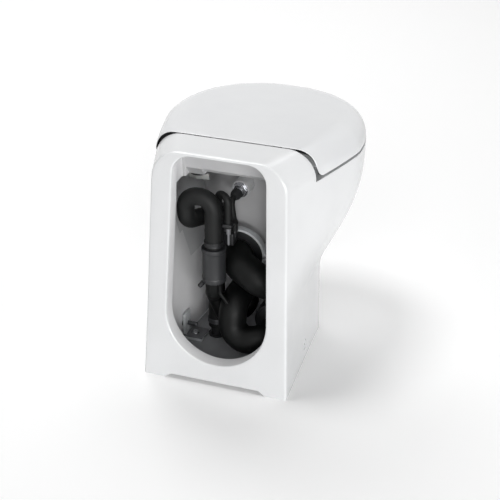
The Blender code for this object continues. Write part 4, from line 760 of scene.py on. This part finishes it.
def makeLid():
    ease, low = lid["lowEase"], lid["low"] - lid["skirt"]
    skirt = [level(plan(shell["rim"], ease * (1 - s), lid["back"], lid["corner"]),
                   lid["low"] + ease * (1 - c)) for s, c in quarter(4)]
    outer = lidRings(0, shell["deck"], lid["back"], lid["backEdge"], lid["low"], shell["shoulder"],
                     lid["backShoulder"], 20)
    outer = skirt + [ring for ring in outer if ring[0].z > lid["low"] + ease * 1.2]
    made = skin("lidShell", [[crowned(p) for p in ring] for ring in outer])
    back, front = shell["deckFront"] - lid["hollowBack"], lid["pocketFront"]
    inner = lidRings(lid["skirt"], shell["deck"] - lid["top"], back, lid["hollowEdge"], low,
                     lid["innerRound"], lid["innerRound"], 14)
    pocket = brick("hingePocket", (0, (back + front) / 2, (lid["pocketTop"] + low) / 2),
                   (lid["pocketHalf"] * 2, front - back, lid["pocketTop"] - low))
    carve(made, [skin("lidHollow", [[crowned(p) for p in ring] for ring in inner]), pocket, lipTool(low),
                 cornerTool(low)])
    height, top, wide = hinge["height"], lid["pocketTop"], hinge["earWidth"]
    padAcross, padDepth = feet["lid"]
    for side in (-1, 1):
        lug = brick("lug", (side * (earIn + wide / 2), hinge["depth"], (height + top) / 2 + gap),
                    (wide - gap, hinge["ear"] * 1.9, top - height + 2 * gap))
        carve(made, [lug, onPin("barrel", side, earIn, earIn + wide, hinge["ear"])], "UNION")
        bore = onPin("bore", side, earIn - 0.012, earIn + wide + 0.0008, hinge["pin"] + hinge["clear"], 24)
        padHole = bar("padHole", side * padAcross, padDepth, (seat["top"], lid["padTop"]), lid["padHole"], 32)
        carve(made, [bore, padHole])

    def pick(face):
        # painted shade: the faces just behind the lip get the black rubber finish, so that the seam between
        # lid and deck stays dark
        x, y, z = face.center
        outward = face.normal.x * (1 if x > 0 else -1) + face.normal.z
        behind = 0.0002 < backY - y - lid["back"] < 0.02
        return int(behind and outward < 0.3 and z < shell["deck"] - 0.0002)

    dress(made, ("duroplast", "rubber"), pick)
    return smooth(made, 38)


settle(makeLid(), "duroplast", "lid", "lid")


def makeSeat():
    low, top, edge, depth, height = seat["low"], seat["top"], seat["edge"], hinge["depth"], hinge["height"]
    rows = [(low + edge / 2 * (1 - c), seat["inset"] + edge / 2 * (1 - s)) for s, c in quarter(4)]
    rows += [(top - edge * (1 - s), seat["inset"] + edge * (1 - c)) for s, c in quarter(8)]
    made = skin("seatRing", [level(plan(shell["rim"], tuck, seat["back"], seat["corner"],
                                        tuck + seat["noseInset"], (8, 14, 16, 34)), z) for z, tuck in rows])
    halfD, halfW = seat["holeHalf"]
    hole = [(low - edge / 2, edge / 2), (low + edge / 2, 0)]
    hole += [(top - edge * (1 - s), edge * (1 - c)) for s, c in quarter(7)] + [(top + 0.003, edge)]
    carve(made, [skin("seatHole", [level(oval(seat["holeDepth"], halfD + grow, halfW + grow), z)
                                   for z, grow in hole])])
    front, wide = seat["back"] + seat["corner"] / 2, hinge["earWidth"]
    for side in (-1, 1):
        middle = side * (earOut + wide / 2)
        arm = brick("arm", (middle, (depth + front) / 2, (low + top) / 2 + gap),
                    (wide - 3 * gap, front - depth, top - low - 4 * gap), 0.0022)
        riser = brick("riser", (middle, depth + hinge["ear"] * 0.25, (height + low) / 2 + gap),
                      (wide - gap, hinge["ear"] * 1.5, height - low - 2 * gap), 0.0012)
        carve(made, [arm, riser, onPin("barrel", side, earOut, earOut + wide, hinge["ear"])], "UNION")
        tools = [onPin("bore", side, earOut - 0.0008, earOut + 2 * wide, hinge["pin"] + hinge["clear"], 24)]
        for a, d in (feet["front"], feet["back"]):
            tools.append(bar("padHole", side * a, d, (low - 0.0025, low + 0.0028), seat["padHole"], 32))
        carve(made, tools)
    return smooth(made, 38)


settle(makeSeat(), "duroplast", "seat_ring", "seat")
print("lid and seat made")


# ---- hoses: a round wall along a path of straight runs and arcs
hoses = {
    # outer radius, bend radius, finish, route
    "gooseneck_hose": (0.0155, 0.024, "hose", [
        (-0.024, 0.07, 0.214), (-0.024, 0.07, 0.332), (-0.0755, 0.07, 0.332), (-0.0755, 0.074, 0.28),
        (-0.054, 0.158, 0.26), (-0.054, 0.158, 0.026)]),
    "riser_elbow": (0.0155, 0.02, "bend", [
        (0.004, 0.144, 0.122), (0.004, 0.182, 0.122), (0.004, 0.182, 0.06), (-0.026, 0.128, 0.066),
        (-0.047, 0.1255, 0.116), (-0.024, 0.07, 0.15), (-0.024, 0.07, 0.2)]),
    "lower_bend": (0.0252, 0.0295, "bend", [
        (0.072, 0.114, 0.066), (0.072, 0.074, 0.066), (0.004, 0.078, 0.053), (0.004, 0.092, 0.122),
        (0.004, 0.139, 0.122)]),
    "outlet_elbow": (0.0285, 0.029, "bend", [
        (0.0, 0.1302, 0.2), (0.0, 0.106, 0.2), (0.07, 0.083, 0.169), (0.07, 0.14, 0.155),
        (0.07, 0.14, 0.121)]),
    "inlet_hose": (0.0056, 0.01, "hose", [
        (0.0, 0.1062, 0.322), (0.0, 0.093, 0.322), (0.004, 0.093, 0.29025), (0.0015, 0.1065, 0.2769),
        (0.0015, 0.1065, 0.2585)]),
    "vent_hose": (0.0066, 0.012, "hose", [
        (-0.0235, 0.0932, 0.296), (-0.0235, 0.0932, 0.334), (0.001, 0.0765, 0.334), (0.001, 0.0765, 0.278)]),
    "drain_hose": (0.0033, 0.009, "bend", [
        (-0.0085, 0.0582, 0.1737), (-0.0085, 0.0582, 0.156), (0.006, 0.056, 0.14)]),
}
for node, (radius, bend, look, route) in hoses.items():
    line = courseOf(route, bend)
    path = bpy.data.meshes.new(node)
    path.from_pydata([tuple(p) for p in line], [(i, i + 1) for i in range(len(line) - 1)], [])
    hose = grown(node.title().replace("_", ""), sweep, look, path, Radius=radius,
                 Sides=48 if radius > 0.01 else 28)
    if node == "gooseneck_hose":
        # the small arm and port that the vent hook sits on
        carve(hose, [bar("ventArm", -0.0235, (0.0838, 0.0948), 0.2916, 0.0033, 24),
                     bar("ventPort", -0.0235, 0.0932, (0.2916, 0.302), 0.0032, 24)], "UNION")
    settle(smooth(hose, 40), look, node)
print("hoses made")

# ---- turned pieces of the drain line: profiles are (radius, distance along)
valve = {"across": -0.024, "depth": 0.07, "low": 0.174, "top": 0.24, "radius": 0.0215, "rib": 0.0008,
         "bore": 0.0158, "bandWidth": 0.009, "bandThick": 0.0012}
bore, long, wide = valve["bore"], valve["top"] - valve["low"], valve["radius"]
thin = wide - valve["rib"]
turned("check_valve_sleeve", "sleeve", (valve["across"], valve["depth"], valve["low"]), up,
       [(bore, 0), (thin, 0), (wide, valve["rib"]), (wide, long * 0.12), (thin, long * 0.14),
        (thin, long * 0.86), (wide, long * 0.88), (wide, long - valve["rib"]), (thin, long), (bore, long)],
       0.0005, 72)
turned("duckbill_valve", "rubber", (valve["across"], valve["depth"], 0.202), up,
       [(0.012, 0), (0.0155, 0), (0.0155, 0.003), (0.0096, 0.003), (0.0048, 0.011), (0.003, 0.011),
        (0.0072, 0.003)], 0.0002, 40)
turned("reducer", "black", (0.004, 0.1393, 0.122), toNose,
       [(0.0205, -0.012), (0.0205, 0), (0.0252, 0), (0.0252, 0.003), (0.018, 0.01), (0.018, 0.018),
        (0.0158, 0.018), (0.0158, 0.004), (0.012, 0.004), (0.012, -0.012)])

# ---- outlet of the bowl: gasket, flange, clamp ring with its lug, and screw
# gasket and flange: radius, bore, thickness; clamp: radius, thickness, width
outlet = {"height": 0.2, "end": 0.14, "gasket": (0.04, 0.027, 0.004), "flange": (0.044, 0.0288, 0.005),
          "clamp": (0.0485, 0.0042, 0.013), "lug": 0.01, "slot": 0.003}
height = outlet["height"]
front = outlet["end"] - gap
turned("outlet_gasket", "rubber", (0, front, height), toBack, washer(*outlet["gasket"]), count=72)
front = front - outlet["gasket"][2] - gap
turned("outlet_flange", "flange", (0, front, height), toBack, washer(*outlet["flange"]), 0.0007, 72)
outer, thick, wide = outlet["clamp"]
inner, start, lug = outer - thick, outlet["end"] + wide / 4, outlet["lug"]
# a band with rolled edges and a shallow bead round its middle
band = lathe("clampRing", (0, start, height), toBack,
             [(outer - 0.0004, 0), (outer, 0.0008), (outer - 0.0005, wide * 0.32), (outer, wide * 0.42),
              (outer, wide * 0.58), (outer - 0.0005, wide * 0.68), (outer, wide - 0.0008),
              (outer - 0.0004, wide), (inner, wide), (inner, 0)], 0.0003, 96)
across, middle = outer + lug / 2 - thick / 2, start - wide / 2
carve(band, [brick("lug", (across, middle, height), (lug, wide * 0.7, lug * 1.3), 0.0012)], "UNION")
carve(band, [brick("slot", (across, middle, height), (lug * 1.4, wide * 2, outlet["slot"])),
             bar("screwWay", outer + lug * 0.45, middle, (height - 0.01, height + 0.01), 0.0022, 24)])
settle(smooth(band), "zinc", "clamp_ring")
turned("clamp_screw", "steel", (0.053, 0.13675, 0.19), up,
       [(0, 0), (0.0019, 0), (0.0019, 0.0168), (0.00375, 0.0168), (0.00375, 0.0195), (0.0032, 0.02),
        (0.0016, 0.02), (0.0015, 0.0186), (0, 0.0186)], 0.0003, 32)

# ---- macerator pump, its motor and what carries them
# inlet: radius, bore, top; outlet: across, height, radius, bore, end; motor: radius, front, wall;
# cap: radius, front; rotor: back, front, radius of the blades; saddleHalf: half width, half depth
pump = {"across": 0.07, "height": 0.08, "back": 0.115, "front": 0.166, "radius": 0.036, "wall": 0.004,
        "inletDepth": 0.14, "inlet": (0.024, 0.02, 0.133), "outlet": (0.072, 0.066, 0.0202, 0.017, 0.1055),
        "motor": (0.031, 0.25, 0.003), "cap": (0.029, 0.26), "shaft": 0.004, "shaftEnd": 0.244,
        "shaftHole": 0.0046, "rotor": (0.123, 0.16, 0.029), "blades": 4, "bladeThick": 0.005, "hub": 0.011,
        "saddles": {"back": 0.185, "front": 0.23}, "saddleHalf": (0.024, 0.008)}
across, height, wall, rim = (pump[key] for key in ("across", "height", "wall", "radius"))
back, front = pump["back"], pump["front"]
long = front - back
# the drum's edge is stepped, and a raised belt runs where its two halves meet
drum = lathe("maceratorHousing", (across, back, height), toNose,
             [(0, 0), (rim - 0.006, 0), (rim - 0.004, 0.0015), (rim - 0.0015, 0.002), (rim - 0.0008, 0.0035),
              (rim - 0.0008, long * 0.46), (rim, long * 0.48), (rim, long * 0.6), (rim - 0.0008, long * 0.62),
              (rim - 0.0008, long - 0.004), (rim, long - 0.003), (rim, long), (0, long)], 0.0006, 80)
inR, inBore, inTop = pump["inlet"]
outA, outZ, outR, outBore, outBack = pump["outlet"]
carve(drum, [bar("collar", across, pump["inletDepth"], (height, inTop), inR, 64),
             bar("nozzle", outA, (back + wall, outBack), outZ, outR, 64)], "UNION")
carve(drum, [bar("room", across, (back + wall, front - wall), height, rim - wall, 64),
             bar("wayIn", across, pump["inletDepth"], (height, inTop + wall), inBore, 56),
             bar("wayOut", outA, (back + wall * 2, outBack - wall), outZ, outBore, 56),
             bar("shaftWay", across, (front - wall * 2, front + wall), height, pump["shaftHole"], 24)])
settle(softened(drum, 0.0005), "black", "macerator_housing")

radius, motorFront, wall = pump["motor"]
start, bore = front + gap, pump["shaft"] + 2 * gap
long = motorFront - start
rows = [(bore, 0), (radius - 0.001, 0), (radius, 0.001)]
for place in (long / 4, long / 2, long * 3 / 4):
    rows += [(radius, place - 0.001), (radius - 0.001, place - 0.0005), (radius - 0.001, place + 0.0005),
             (radius, place + 0.001)]
rows += [(radius, long), (radius - wall, long), (radius - wall, wall), (bore, wall)]
turned("motor_can", "can", (across, start, height), toNose, rows, 0.0003, 80)
capRadius, capFront = pump["cap"]
capStart = motorFront + gap - 0.003
long = capFront - capStart
turned("motor_end_cap", "black", (across, capStart, height), toNose,
       [(0, 0), (0.0277, 0), (0.0277, 0.003), (0.031, 0.003), (0.0305, 0.006), (capRadius, long),
        (0.012, long), (0.011, long - 0.0012), (0.004, long - 0.0012), (0, long - 0.0012)], 0.0006, 72)

start, end, bladeR = pump["rotor"]
hub, shaft, long, shaftLong = pump["hub"], pump["shaft"], end - start, pump["shaftEnd"] - start
rotor = lathe("maceratorRotor", (across, start, height), toNose,
              [(0, 0), (hub * 0.7, 0), (hub, long * 0.3), (hub, long), (shaft, long), (shaft, shaftLong),
               (0, shaftLong)], 0.0004, 48)
blades = grown("blades", around, "steel", Count=pump["blades"], Radius=(hub * 0.5 + bladeR) / 2,
               Size=(bladeR - hub * 0.5, pump["bladeThick"], long - 0.002),
               Centre=put(across, (start + end) / 2, height), Turn=(pi / 2, 0, 0))
carve(rotor, [blades], "UNION")
settle(softened(rotor, 0.0004), "steel", "macerator_rotor", "rotor")

half, deep = pump["saddleHalf"]
for tag, depth in pump["saddles"].items():
    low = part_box("motor_saddle_" + tag)[0].z
    saddle = brick("motorSaddle" + tag.title(), (across, depth, (low + height) / 2),
                   (half * 2, deep * 2, height - low), 0.0012)
    carve(saddle, [bar("bed", across, (depth - deep * 2, depth + deep * 2), height, radius + gap, 80)])
    settle(softened(saddle, 0.0006), "rubber", "motor_saddle_" + tag)
print("pump made")

# ---- hose bands, nipple and the floor outlet
drain = {"across": -0.054, "depth": 0.158, "top": 0.044}
inner = valve["bore"]
outer = inner + valve["bandThick"]
flat, wide = outer - 0.0003, valve["bandWidth"]
bands = {"neck": ("black", (valve["across"], valve["depth"], valve["top"] + wide * 0.4)),
         "outlet": ("dullSteel", (drain["across"], drain["depth"], drain["top"] - wide))}
for tag, (look, foot) in bands.items():
    band = lathe("hoseBand" + tag.title(), foot, up,
                 [(flat, 0), (outer, 0.0008), (flat, 0.0018), (flat, wide - 0.0018), (outer, wide - 0.0008),
                  (flat, wide), (inner, wide), (inner, 0)], 0.0002, 72)
    # evenly spaced slots of the worm drive, raised on the strip
    carve(band, [grown("bandTeeth", around, look, Count=40, Size=(0.0009, 0.0011, wide * 0.5),
                       Radius=outer - 0.0005, Centre=put(*foot) + up * wide / 2)], "UNION")
    band.data.materials.clear()
    settle(smooth(band), look, "hose_band_" + tag)

start = (-0.041, 0.061, 0.1716)
turned("sleeve_nipple", "flange", start, put(-0.0485, 0.06, 0.1615) - put(*start),
       [(0, 0), (0.0042, 0), (0.0042, 0.005), (0.0036, 0.0054), (0.0036, 0.0064), (0.0042, 0.0072),
        (0.0042, 0.0105), (0.0036, 0.0119), (0.0021, 0.0126), (0, 0.0126)], 0.0002, 32)

base = {"low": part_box("base_plate")[0].z, "thick": 0.005, "inset": 0.014, "back": 0.033, "edge": 0.01}
low, inset, back = base["low"], base["inset"], base["back"]
plateTop = low + base["thick"]
plateRows = ((low, 0.0004), (low + 0.0004, 0), (plateTop - 0.0005, 0), (plateTop, 0.0005))
plate = skin("basePlate", [
    level(plan(0.002, inset + tuck, back + tuck, base["edge"], None, (8, 6, 12, 26)), z)
    for z, tuck in plateRows])
wall = float(np.interp(0.161, *flank(bracket["sideHeight"], 0.01))) - 2 * gap
screwAcross = wall - bracket["screwIn"]
through, screwHole = (-0.005, 0.012), bracket["screwHole"]
carve(plate, [bar("outletHole", drain["across"], drain["depth"], through, 0.0118, 40),
              bar("screwHole", screwAcross, bracket["depth"], through, screwHole, 24),
              bar("screwHole", -screwAcross, bracket["depth"], through, screwHole, 24)])
settle(smooth(plate), "plate", "base_plate")
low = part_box("floor_outlet")[0].z
long = drain["top"] - low
turned("floor_outlet", "black", (drain["across"], drain["depth"], low), up,
       [(0.0115, 0), (0.0115, 0.0053), (0.0155, 0.0053), (0.0155, 0.0093), (0.0115, 0.0093), (0.0115, long),
        (0.0085, long), (0.0085, 0)], 0.0004, 48)

# ---- floor brackets, screws and side caps
low = plateTop + gap
thick, foot, wide, tall = (bracket[key] for key in ("thick", "foot", "width", "tall"))
middle, sideZ = bracket["depth"], bracket["sideHeight"]
rear = middle - wide / 2
# an upright and a foot with a fillet between them, as (in from the wall, up from the plate)
corner = [(0, 0), (0, tall), (thick, tall), (thick, thick * 1.9), (thick * 1.25, thick * 1.3),
          (thick * 1.9, thick), (foot, thick), (foot, 0)]
for side, tag in ((-1, "left"), (1, "right")):
    made = slab("floorBracket" + tag.title(), [(side * (wall - a), low + z) for a, z in corner], rear, wide)
    # the upright is narrower than the foot
    spare = (wide - bracket["post"]) / 2
    size, top = (thick * 4, spare, tall), low + thick + tall / 2 + 0.0004
    carve(made, [brick("spare", (side * wall, rear + k * wide + (0.5 - k) * spare, top), size)
                 for k in (0, 1)])
    softened(made, 0.0006)
    # grooves across the upright leave the ridged face that the photo shows
    carve(made, [grown("ridges", ridges, "zinc", Count=bracket["teeth"],
                       Size=(bracket["tooth"], wide * 2, bracket["tooth"]),
                       Start=put(side * (wall - thick), middle, low + 0.012), Step=(0, 0, 0.0032)),
                 bar("screwHole", side * (wall - foot / 2), middle, (low - 0.001, low + 0.01), screwHole, 32),
                 bar("sideHole", (side * (wall + 0.005), side * (wall - 0.01)), middle, sideZ, 0.0043, 32)])
    # painted shade: the foot's upward faces get the darker grey plastic finish, for the shade on the foot's
    # top
    dress(made, ("zinc", "greyPlastic"),
          lambda face: int(face.normal.z > 0.8 and face.center.z < low + thick * 1.5))
    settle(smooth(made), "zinc", "floor_bracket_" + tag)


def crossHead(node, look, start, direction, rows, reach):
    # a screw with a cross recess in its head
    made = lathe(camel(node), start, direction, rows, 0.0004, 40)
    first, second = sideways(direction)
    tip = put(*start) + direction * rows[-1][1]
    tools = []
    for one, two in ((first, second), (second, first)):
        ring = [tip + one * reach * a + two * 0.0005 * b for a, b in ((1, 1), (1, -1), (-1, -1), (-1, 1))]
        tools.append(skin("crossSlot", [[tip - direction * 0.0016 + (p - tip) * 0.6 for p in ring],
                                        [p + direction * 0.002 for p in ring]]))
    carve(made, tools)
    settle(smooth(made), look, node)


for side, tag in ((-1, "left"), (1, "right")):
    outward = Vector((-side, 0, 0))
    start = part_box("floor_screw_" + tag)[0].z
    shank = low + 0.0053 - start
    crossHead("floor_screw_" + tag, "steel", (side * screwAcross, middle, start), up,
              [(0, 0), (0.0038, 0), (0.0038, shank), (0.0075, shank), (0.0072, shank + 0.0016),
               (0.0055, shank + 0.003), (0.003, shank + 0.0035), (0, shank + 0.0035)], 0.0034)
    # the cap sits 2.5 mm inside the flank, with the screw's head behind it
    face = float(np.interp(middle, *flank(sideZ, 0))) - 0.0025 - gap
    crossHead("side_screw_" + tag, "dullSteel", (side * (face - 0.003 - gap - 0.03), middle, sideZ), outward,
              [(0, 0), (0.0025, 0), (0.004, 0.003), (0.004, 0.026), (0.0075, 0.026), (0.0075, 0.0285),
               (0.0068, 0.03), (0, 0.03)], 0.0036)
    turned("side_cap_" + tag, "duroplast", (side * (face - 0.003), middle, sideZ), outward,
           [(0.0085, 0), (0.01, 0), (0.01, 0.0042), (0.0094, 0.005), (0.0085, 0.0055), (0.003, 0.0055),
            (0.003, 0.003), (0.0085, 0.003)])
print("base, bands and screws made")

# ---- water inlet: threaded stub, washer, nut, boot and valve
# stub: radius, bore, front, end; washer and nut: radius, thickness
water = {"height": 0.322, "start": 0.14, "stub": (0.008, 0.005, 0.162, 0.1172), "washer": (0.0145, 0.0018),
         "nut": (0.0125, 0.007), "boot": 0.0097, "bootGap": 0.007, "coilRibs": 9, "coilTall": 0.05,
         "coilRadius": 0.008, "coilGroove": 0.0009}
height = water["height"]
outer, bore, front, end = water["stub"]
stub = lathe("inletStub", (0, front, height), toBack, washer(outer, bore, front - end), 0.0005, 56)
settle(threaded(stub, "steel", Count=25, Radius=outer + 0.0001, Depth=0.0005, Step=toBack * 0.0016,
                Start=put(0, front - 0.003, height), Turn=(pi / 2, 0, 0)), "steel", "inlet_stub")
place = water["start"] - gap
wide, thick = water["washer"]
turned("inlet_washer", "steel", (0, place, height), toBack, washer(wide, outer + gap, thick), count=72)
place -= thick + gap
radius, thick = water["nut"]
nut = bar("inletNut", 0, (place, place - thick), height, radius, 6)
# a chamfering cone takes the six corners off both faces
cone = lathe("chamfer", (0, place + 0.0001, height), toBack,
             [(0, 0), (radius * 0.9, 0), (radius * 1.02, 0.0014), (radius * 1.02, thick - 0.0012),
              (radius * 0.9, thick + 0.0002), (0, thick + 0.0002)], 0.0001, 64)
carve(nut, [cone], "INTERSECT")
carve(nut, [bar("bore", 0, (place + 0.001, place - thick - 0.001), height, 0.0084, 48)])
settle(softened(nut, 0.0003, 30), "steel", "inlet_nut")
place -= thick + water["bootGap"]
wide, long = water["boot"], place - end + gap
turned("inlet_boot", "rubber", (0, place, height), toBack,
       [(0.0083, 0), (wide, 0), (wide, 0.0022), (wide - 0.0005, 0.0028), (wide - 0.0005, 0.0044),
        (wide, 0.005), (wide, 0.0075), (wide * 0.8, 0.013), (wide * 0.65, 0.017), (0.0035, 0.017),
        (0.0035, long), (0.0083, long)])

block = brick("solenoidValve", (-0.011, 0.1075, 0.244), (0.027, 0.023, 0.023), 0.002)
carve(block, [bar("port", 0.0015, 0.1065, (0.244, 0.264), 0.0035, 32)], "UNION")
settle(softened(block, 0.0004, 60), "black", "solenoid_valve")
tall, ribs, radius = water["coilTall"], water["coilRibs"], water["coilRadius"]
inner = radius - water["coilGroove"]
rows = [(0, 0), (radius, 0)]
for i in range(ribs):
    low, high = (tall * (i + share) / ribs for share in (0.4, 0.8))
    rows += [(radius, low), (inner, low), (inner, high), (radius, high)]
coil = lathe("valveCoil", (-0.017, 0.1075, 0.2558), up, rows + [(radius, tall), (0, tall)], 0.0003, 56)
carve(coil, [brick("plug", (-0.025, 0.1075, 0.2808), (0.009, 0.007, 0.009), 0.0006)], "UNION")
settle(softened(coil, 0.0002), "black", "valve_coil")
ventAcross, ventDepth = hoses["vent_hose"][3][-1][:2]
clip = brick("ventClip", (ventAcross, ventDepth, 0.284), (0.017, 0.017, 0.006), 0.0012)
carve(clip, [bar("bore", ventAcross, ventDepth, (0.272, 0.296), 0.0069, 32)])
settle(smooth(clip), "black", "vent_clip")
turned("vent_barb", "greyPlastic", (ventAcross, ventDepth, 0.244), up,
       [(0, 0), (0.0013, 0), (0.0021, 0.004), (0.0021, 0.022), (0.004, 0.022), (0.004, 0.0337),
        (0.0032, 0.0337), (0.0032, 0.0372), (0, 0.0376)], 0.0003, 32)
print("water inlet made")

# ---- hinge posts, pins, bolts, washers, wing nuts and rubber feet
depth, height, half, ear = hinge["depth"], hinge["height"], hinge["post"] / 2, hinge["ear"]
foot = shell["rim"] + gap
tall = height - foot
for side, tag in ((-1, "left"), (1, "right")):
    across = side * hinge["across"]
    post = lathe("hingePost" + tag.title(), (across, depth, foot), up,
                 [(0, 0), (0.0125, 0), (0.0125, 0.0024), (0.01, 0.004), (0, 0.004)], 0.0005, 56)
    neck = brick("neck", (across, depth, foot + gap + tall / 2), (half * 2, ear * 1.35, tall - gap), 0.001)
    carve(post, [neck, bar("head", (across - half, across + half), depth, height, ear, 56)], "UNION")
    carve(post, [bar("bore", (across - half * 2, across + half * 2), depth, height, 0.0034, 32),
                 bar("socket", across, depth, (0.352, foot + tall * 0.45), 0.0043, 32)])
    settle(softened(post, 0.0004), "steel", "hinge_post_" + tag)
    turned("hinge_pin_" + tag, "steel", (side * (earIn - 0.0021), depth, height), Vector((-side, 0, 0)),
           [(0, 0), (0.0036, 0), (0.0044, 0.0008), (0.0044, 0.0018), (0.003, 0.0018), (0.003, 0.0495),
            (0.0025, 0.05), (0, 0.05)], 0.0002, 40)
    top = foot + tall * 0.45 - 2 * gap
    bolt = lathe("hingeBolt" + tag.title(), (across, depth, top), -up,
                 [(0, 0), (0.004, 0), (0.004, 0.0455), (0.0034, 0.046), (0, 0.046)], 0.0002, 40)
    settle(threaded(bolt, "steel", Count=35, Radius=0.00405, Depth=0.0004, Step=-up * 0.00125,
                    Start=put(across, depth, top - 0.002)), "steel", "hinge_bolt_" + tag)
    under = shell["rim"] - shell["rimThick"] - gap
    turned("hinge_washer_" + tag, "rubber", (across, depth, under), -up, washer(0.015, 0.0043, 0.002),
           count=72)
    under -= 0.002 + gap
    nut = lathe("wingNut" + tag.title(), (across, depth, under), -up,
                [(0, 0), (0.0085, 0), (0.008, 0.006), (0.007, 0.011), (0, 0.011)], 0.0006, 48)
    carve(nut, [brick("wing", (across, depth, under - 0.0063), (0.038, 0.004, 0.012), 0.0014)], "UNION")
    carve(nut, [bar("thread", across, depth, (under + 0.001, under - 0.02), 0.0043, 32)])
    settle(softened(nut, 0.0005), "nylon", "wing_nut_" + tag)
    long = seat["low"] - shell["rim"] - gap
    for where in ("front", "back"):
        a, d = feet[where]
        turned("seat_foot_" + where + "_" + tag, "pad", (side * a, d, foot), up,
               [(0, 0), (0.00765, 0), (0.009, long * 0.4), (0.009, long + 0.0025), (0, long + 0.0025)],
               0.0006, 40, "seat")
    low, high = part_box("lid_foot_" + tag)
    long = high.z - low.z
    a, d = feet["lid"]
    turned("lid_foot_" + tag, "pad", (side * a, d, low.z), up,
           [(0, 0), (0.0064, 0), (0.008, 0.003), (0.008, long), (0, long)], 0.0006, 40, "lid")
print("hinges and feet made")


# ---- floor, backdrop and light
def emptied(owner):
    owner.use_nodes = True
    owner.node_tree.nodes.clear()
    return owner.node_tree


half = 3.2
corners = [(-half, -half, 0), (half, -half, 0), (half, half, 0), (-half, half, 0)]
floor = meshOf("floor", corners, [(0, 1, 2, 3)])
pale = bpy.data.materials.new("paleFloor")
tree = emptied(pale)
path = addNode(tree, "LightPath").outputs
matt = addNode(tree, "BsdfDiffuse", {"Color": linear("#fbfbfb")})
glow = addNode(tree, "Math", {0: path["Is Camera Ray"], 1: 1.9}, operation="MULTIPLY")
lift = addNode(tree, "Emission", {"Color": (1, 1, 1, 1), "Strength": glow})
both = addNode(tree, "MixShader", {"Fac": 0.05, 1: matt, 2: lift})
addNode(tree, "OutputMaterial", {"Surface": both})
floor.data.materials.append(pale)

# the world is white where it is seen or mirrored, and faint as a light
world = bpy.data.worlds.new("studio")
bpy.context.scene.world = world
tree = emptied(world)
path = addNode(tree, "LightPath").outputs
seen = addNode(tree, "Math", {0: path["Is Camera Ray"], 1: path["Is Glossy Ray"]}, operation="MAXIMUM")
shown = addNode(tree, "Math", {0: seen, 1: path["Is Transmission Ray"]}, operation="MAXIMUM")
plain = addNode(tree, "Background", {"Color": (1, 1, 1, 1), "Strength": 0.03})
white = addNode(tree, "Background", {"Color": (1, 1, 1, 1), "Strength": 1.0})
both = addNode(tree, "MixShader", {"Fac": shown, 1: plain, 2: white})
addNode(tree, "OutputWorld", {"Surface": both})

# place, size and power; all of them point at the body
lamps = {
    "topBox": ((1.5, 0.1, 5.0), (1.5, 1.5), 103),
    "noseHigh": ((0.3, -2.6, 4.6), (2.6, 2.6), 70),
    "cornerHigh": ((2.2, -2.4, 3.6), (1.8, 1.8), 59),
    "backHigh": ((-1.2, 4.2, 3.2), (3.0, 2.0), 56),
    "rightLow": ((-5.2, 0.2, 0.55), (2.6, 1.0), 78),
    "backLow": ((-2.9, 4.7, 0.6), (3.0, 1.1), 184),
}
aim = Vector((0, 0, 0.2))
for name, (place, size, power) in lamps.items():
    data = bpy.data.lights.new(name, "AREA")
    data.shape = "RECTANGLE"
    data.size, data.size_y = size
    data.energy = power
    aimed(name, data, place, aim - Vector(place))
bpy.context.scene.view_settings.view_transform = "Standard"
print("stage and light made")
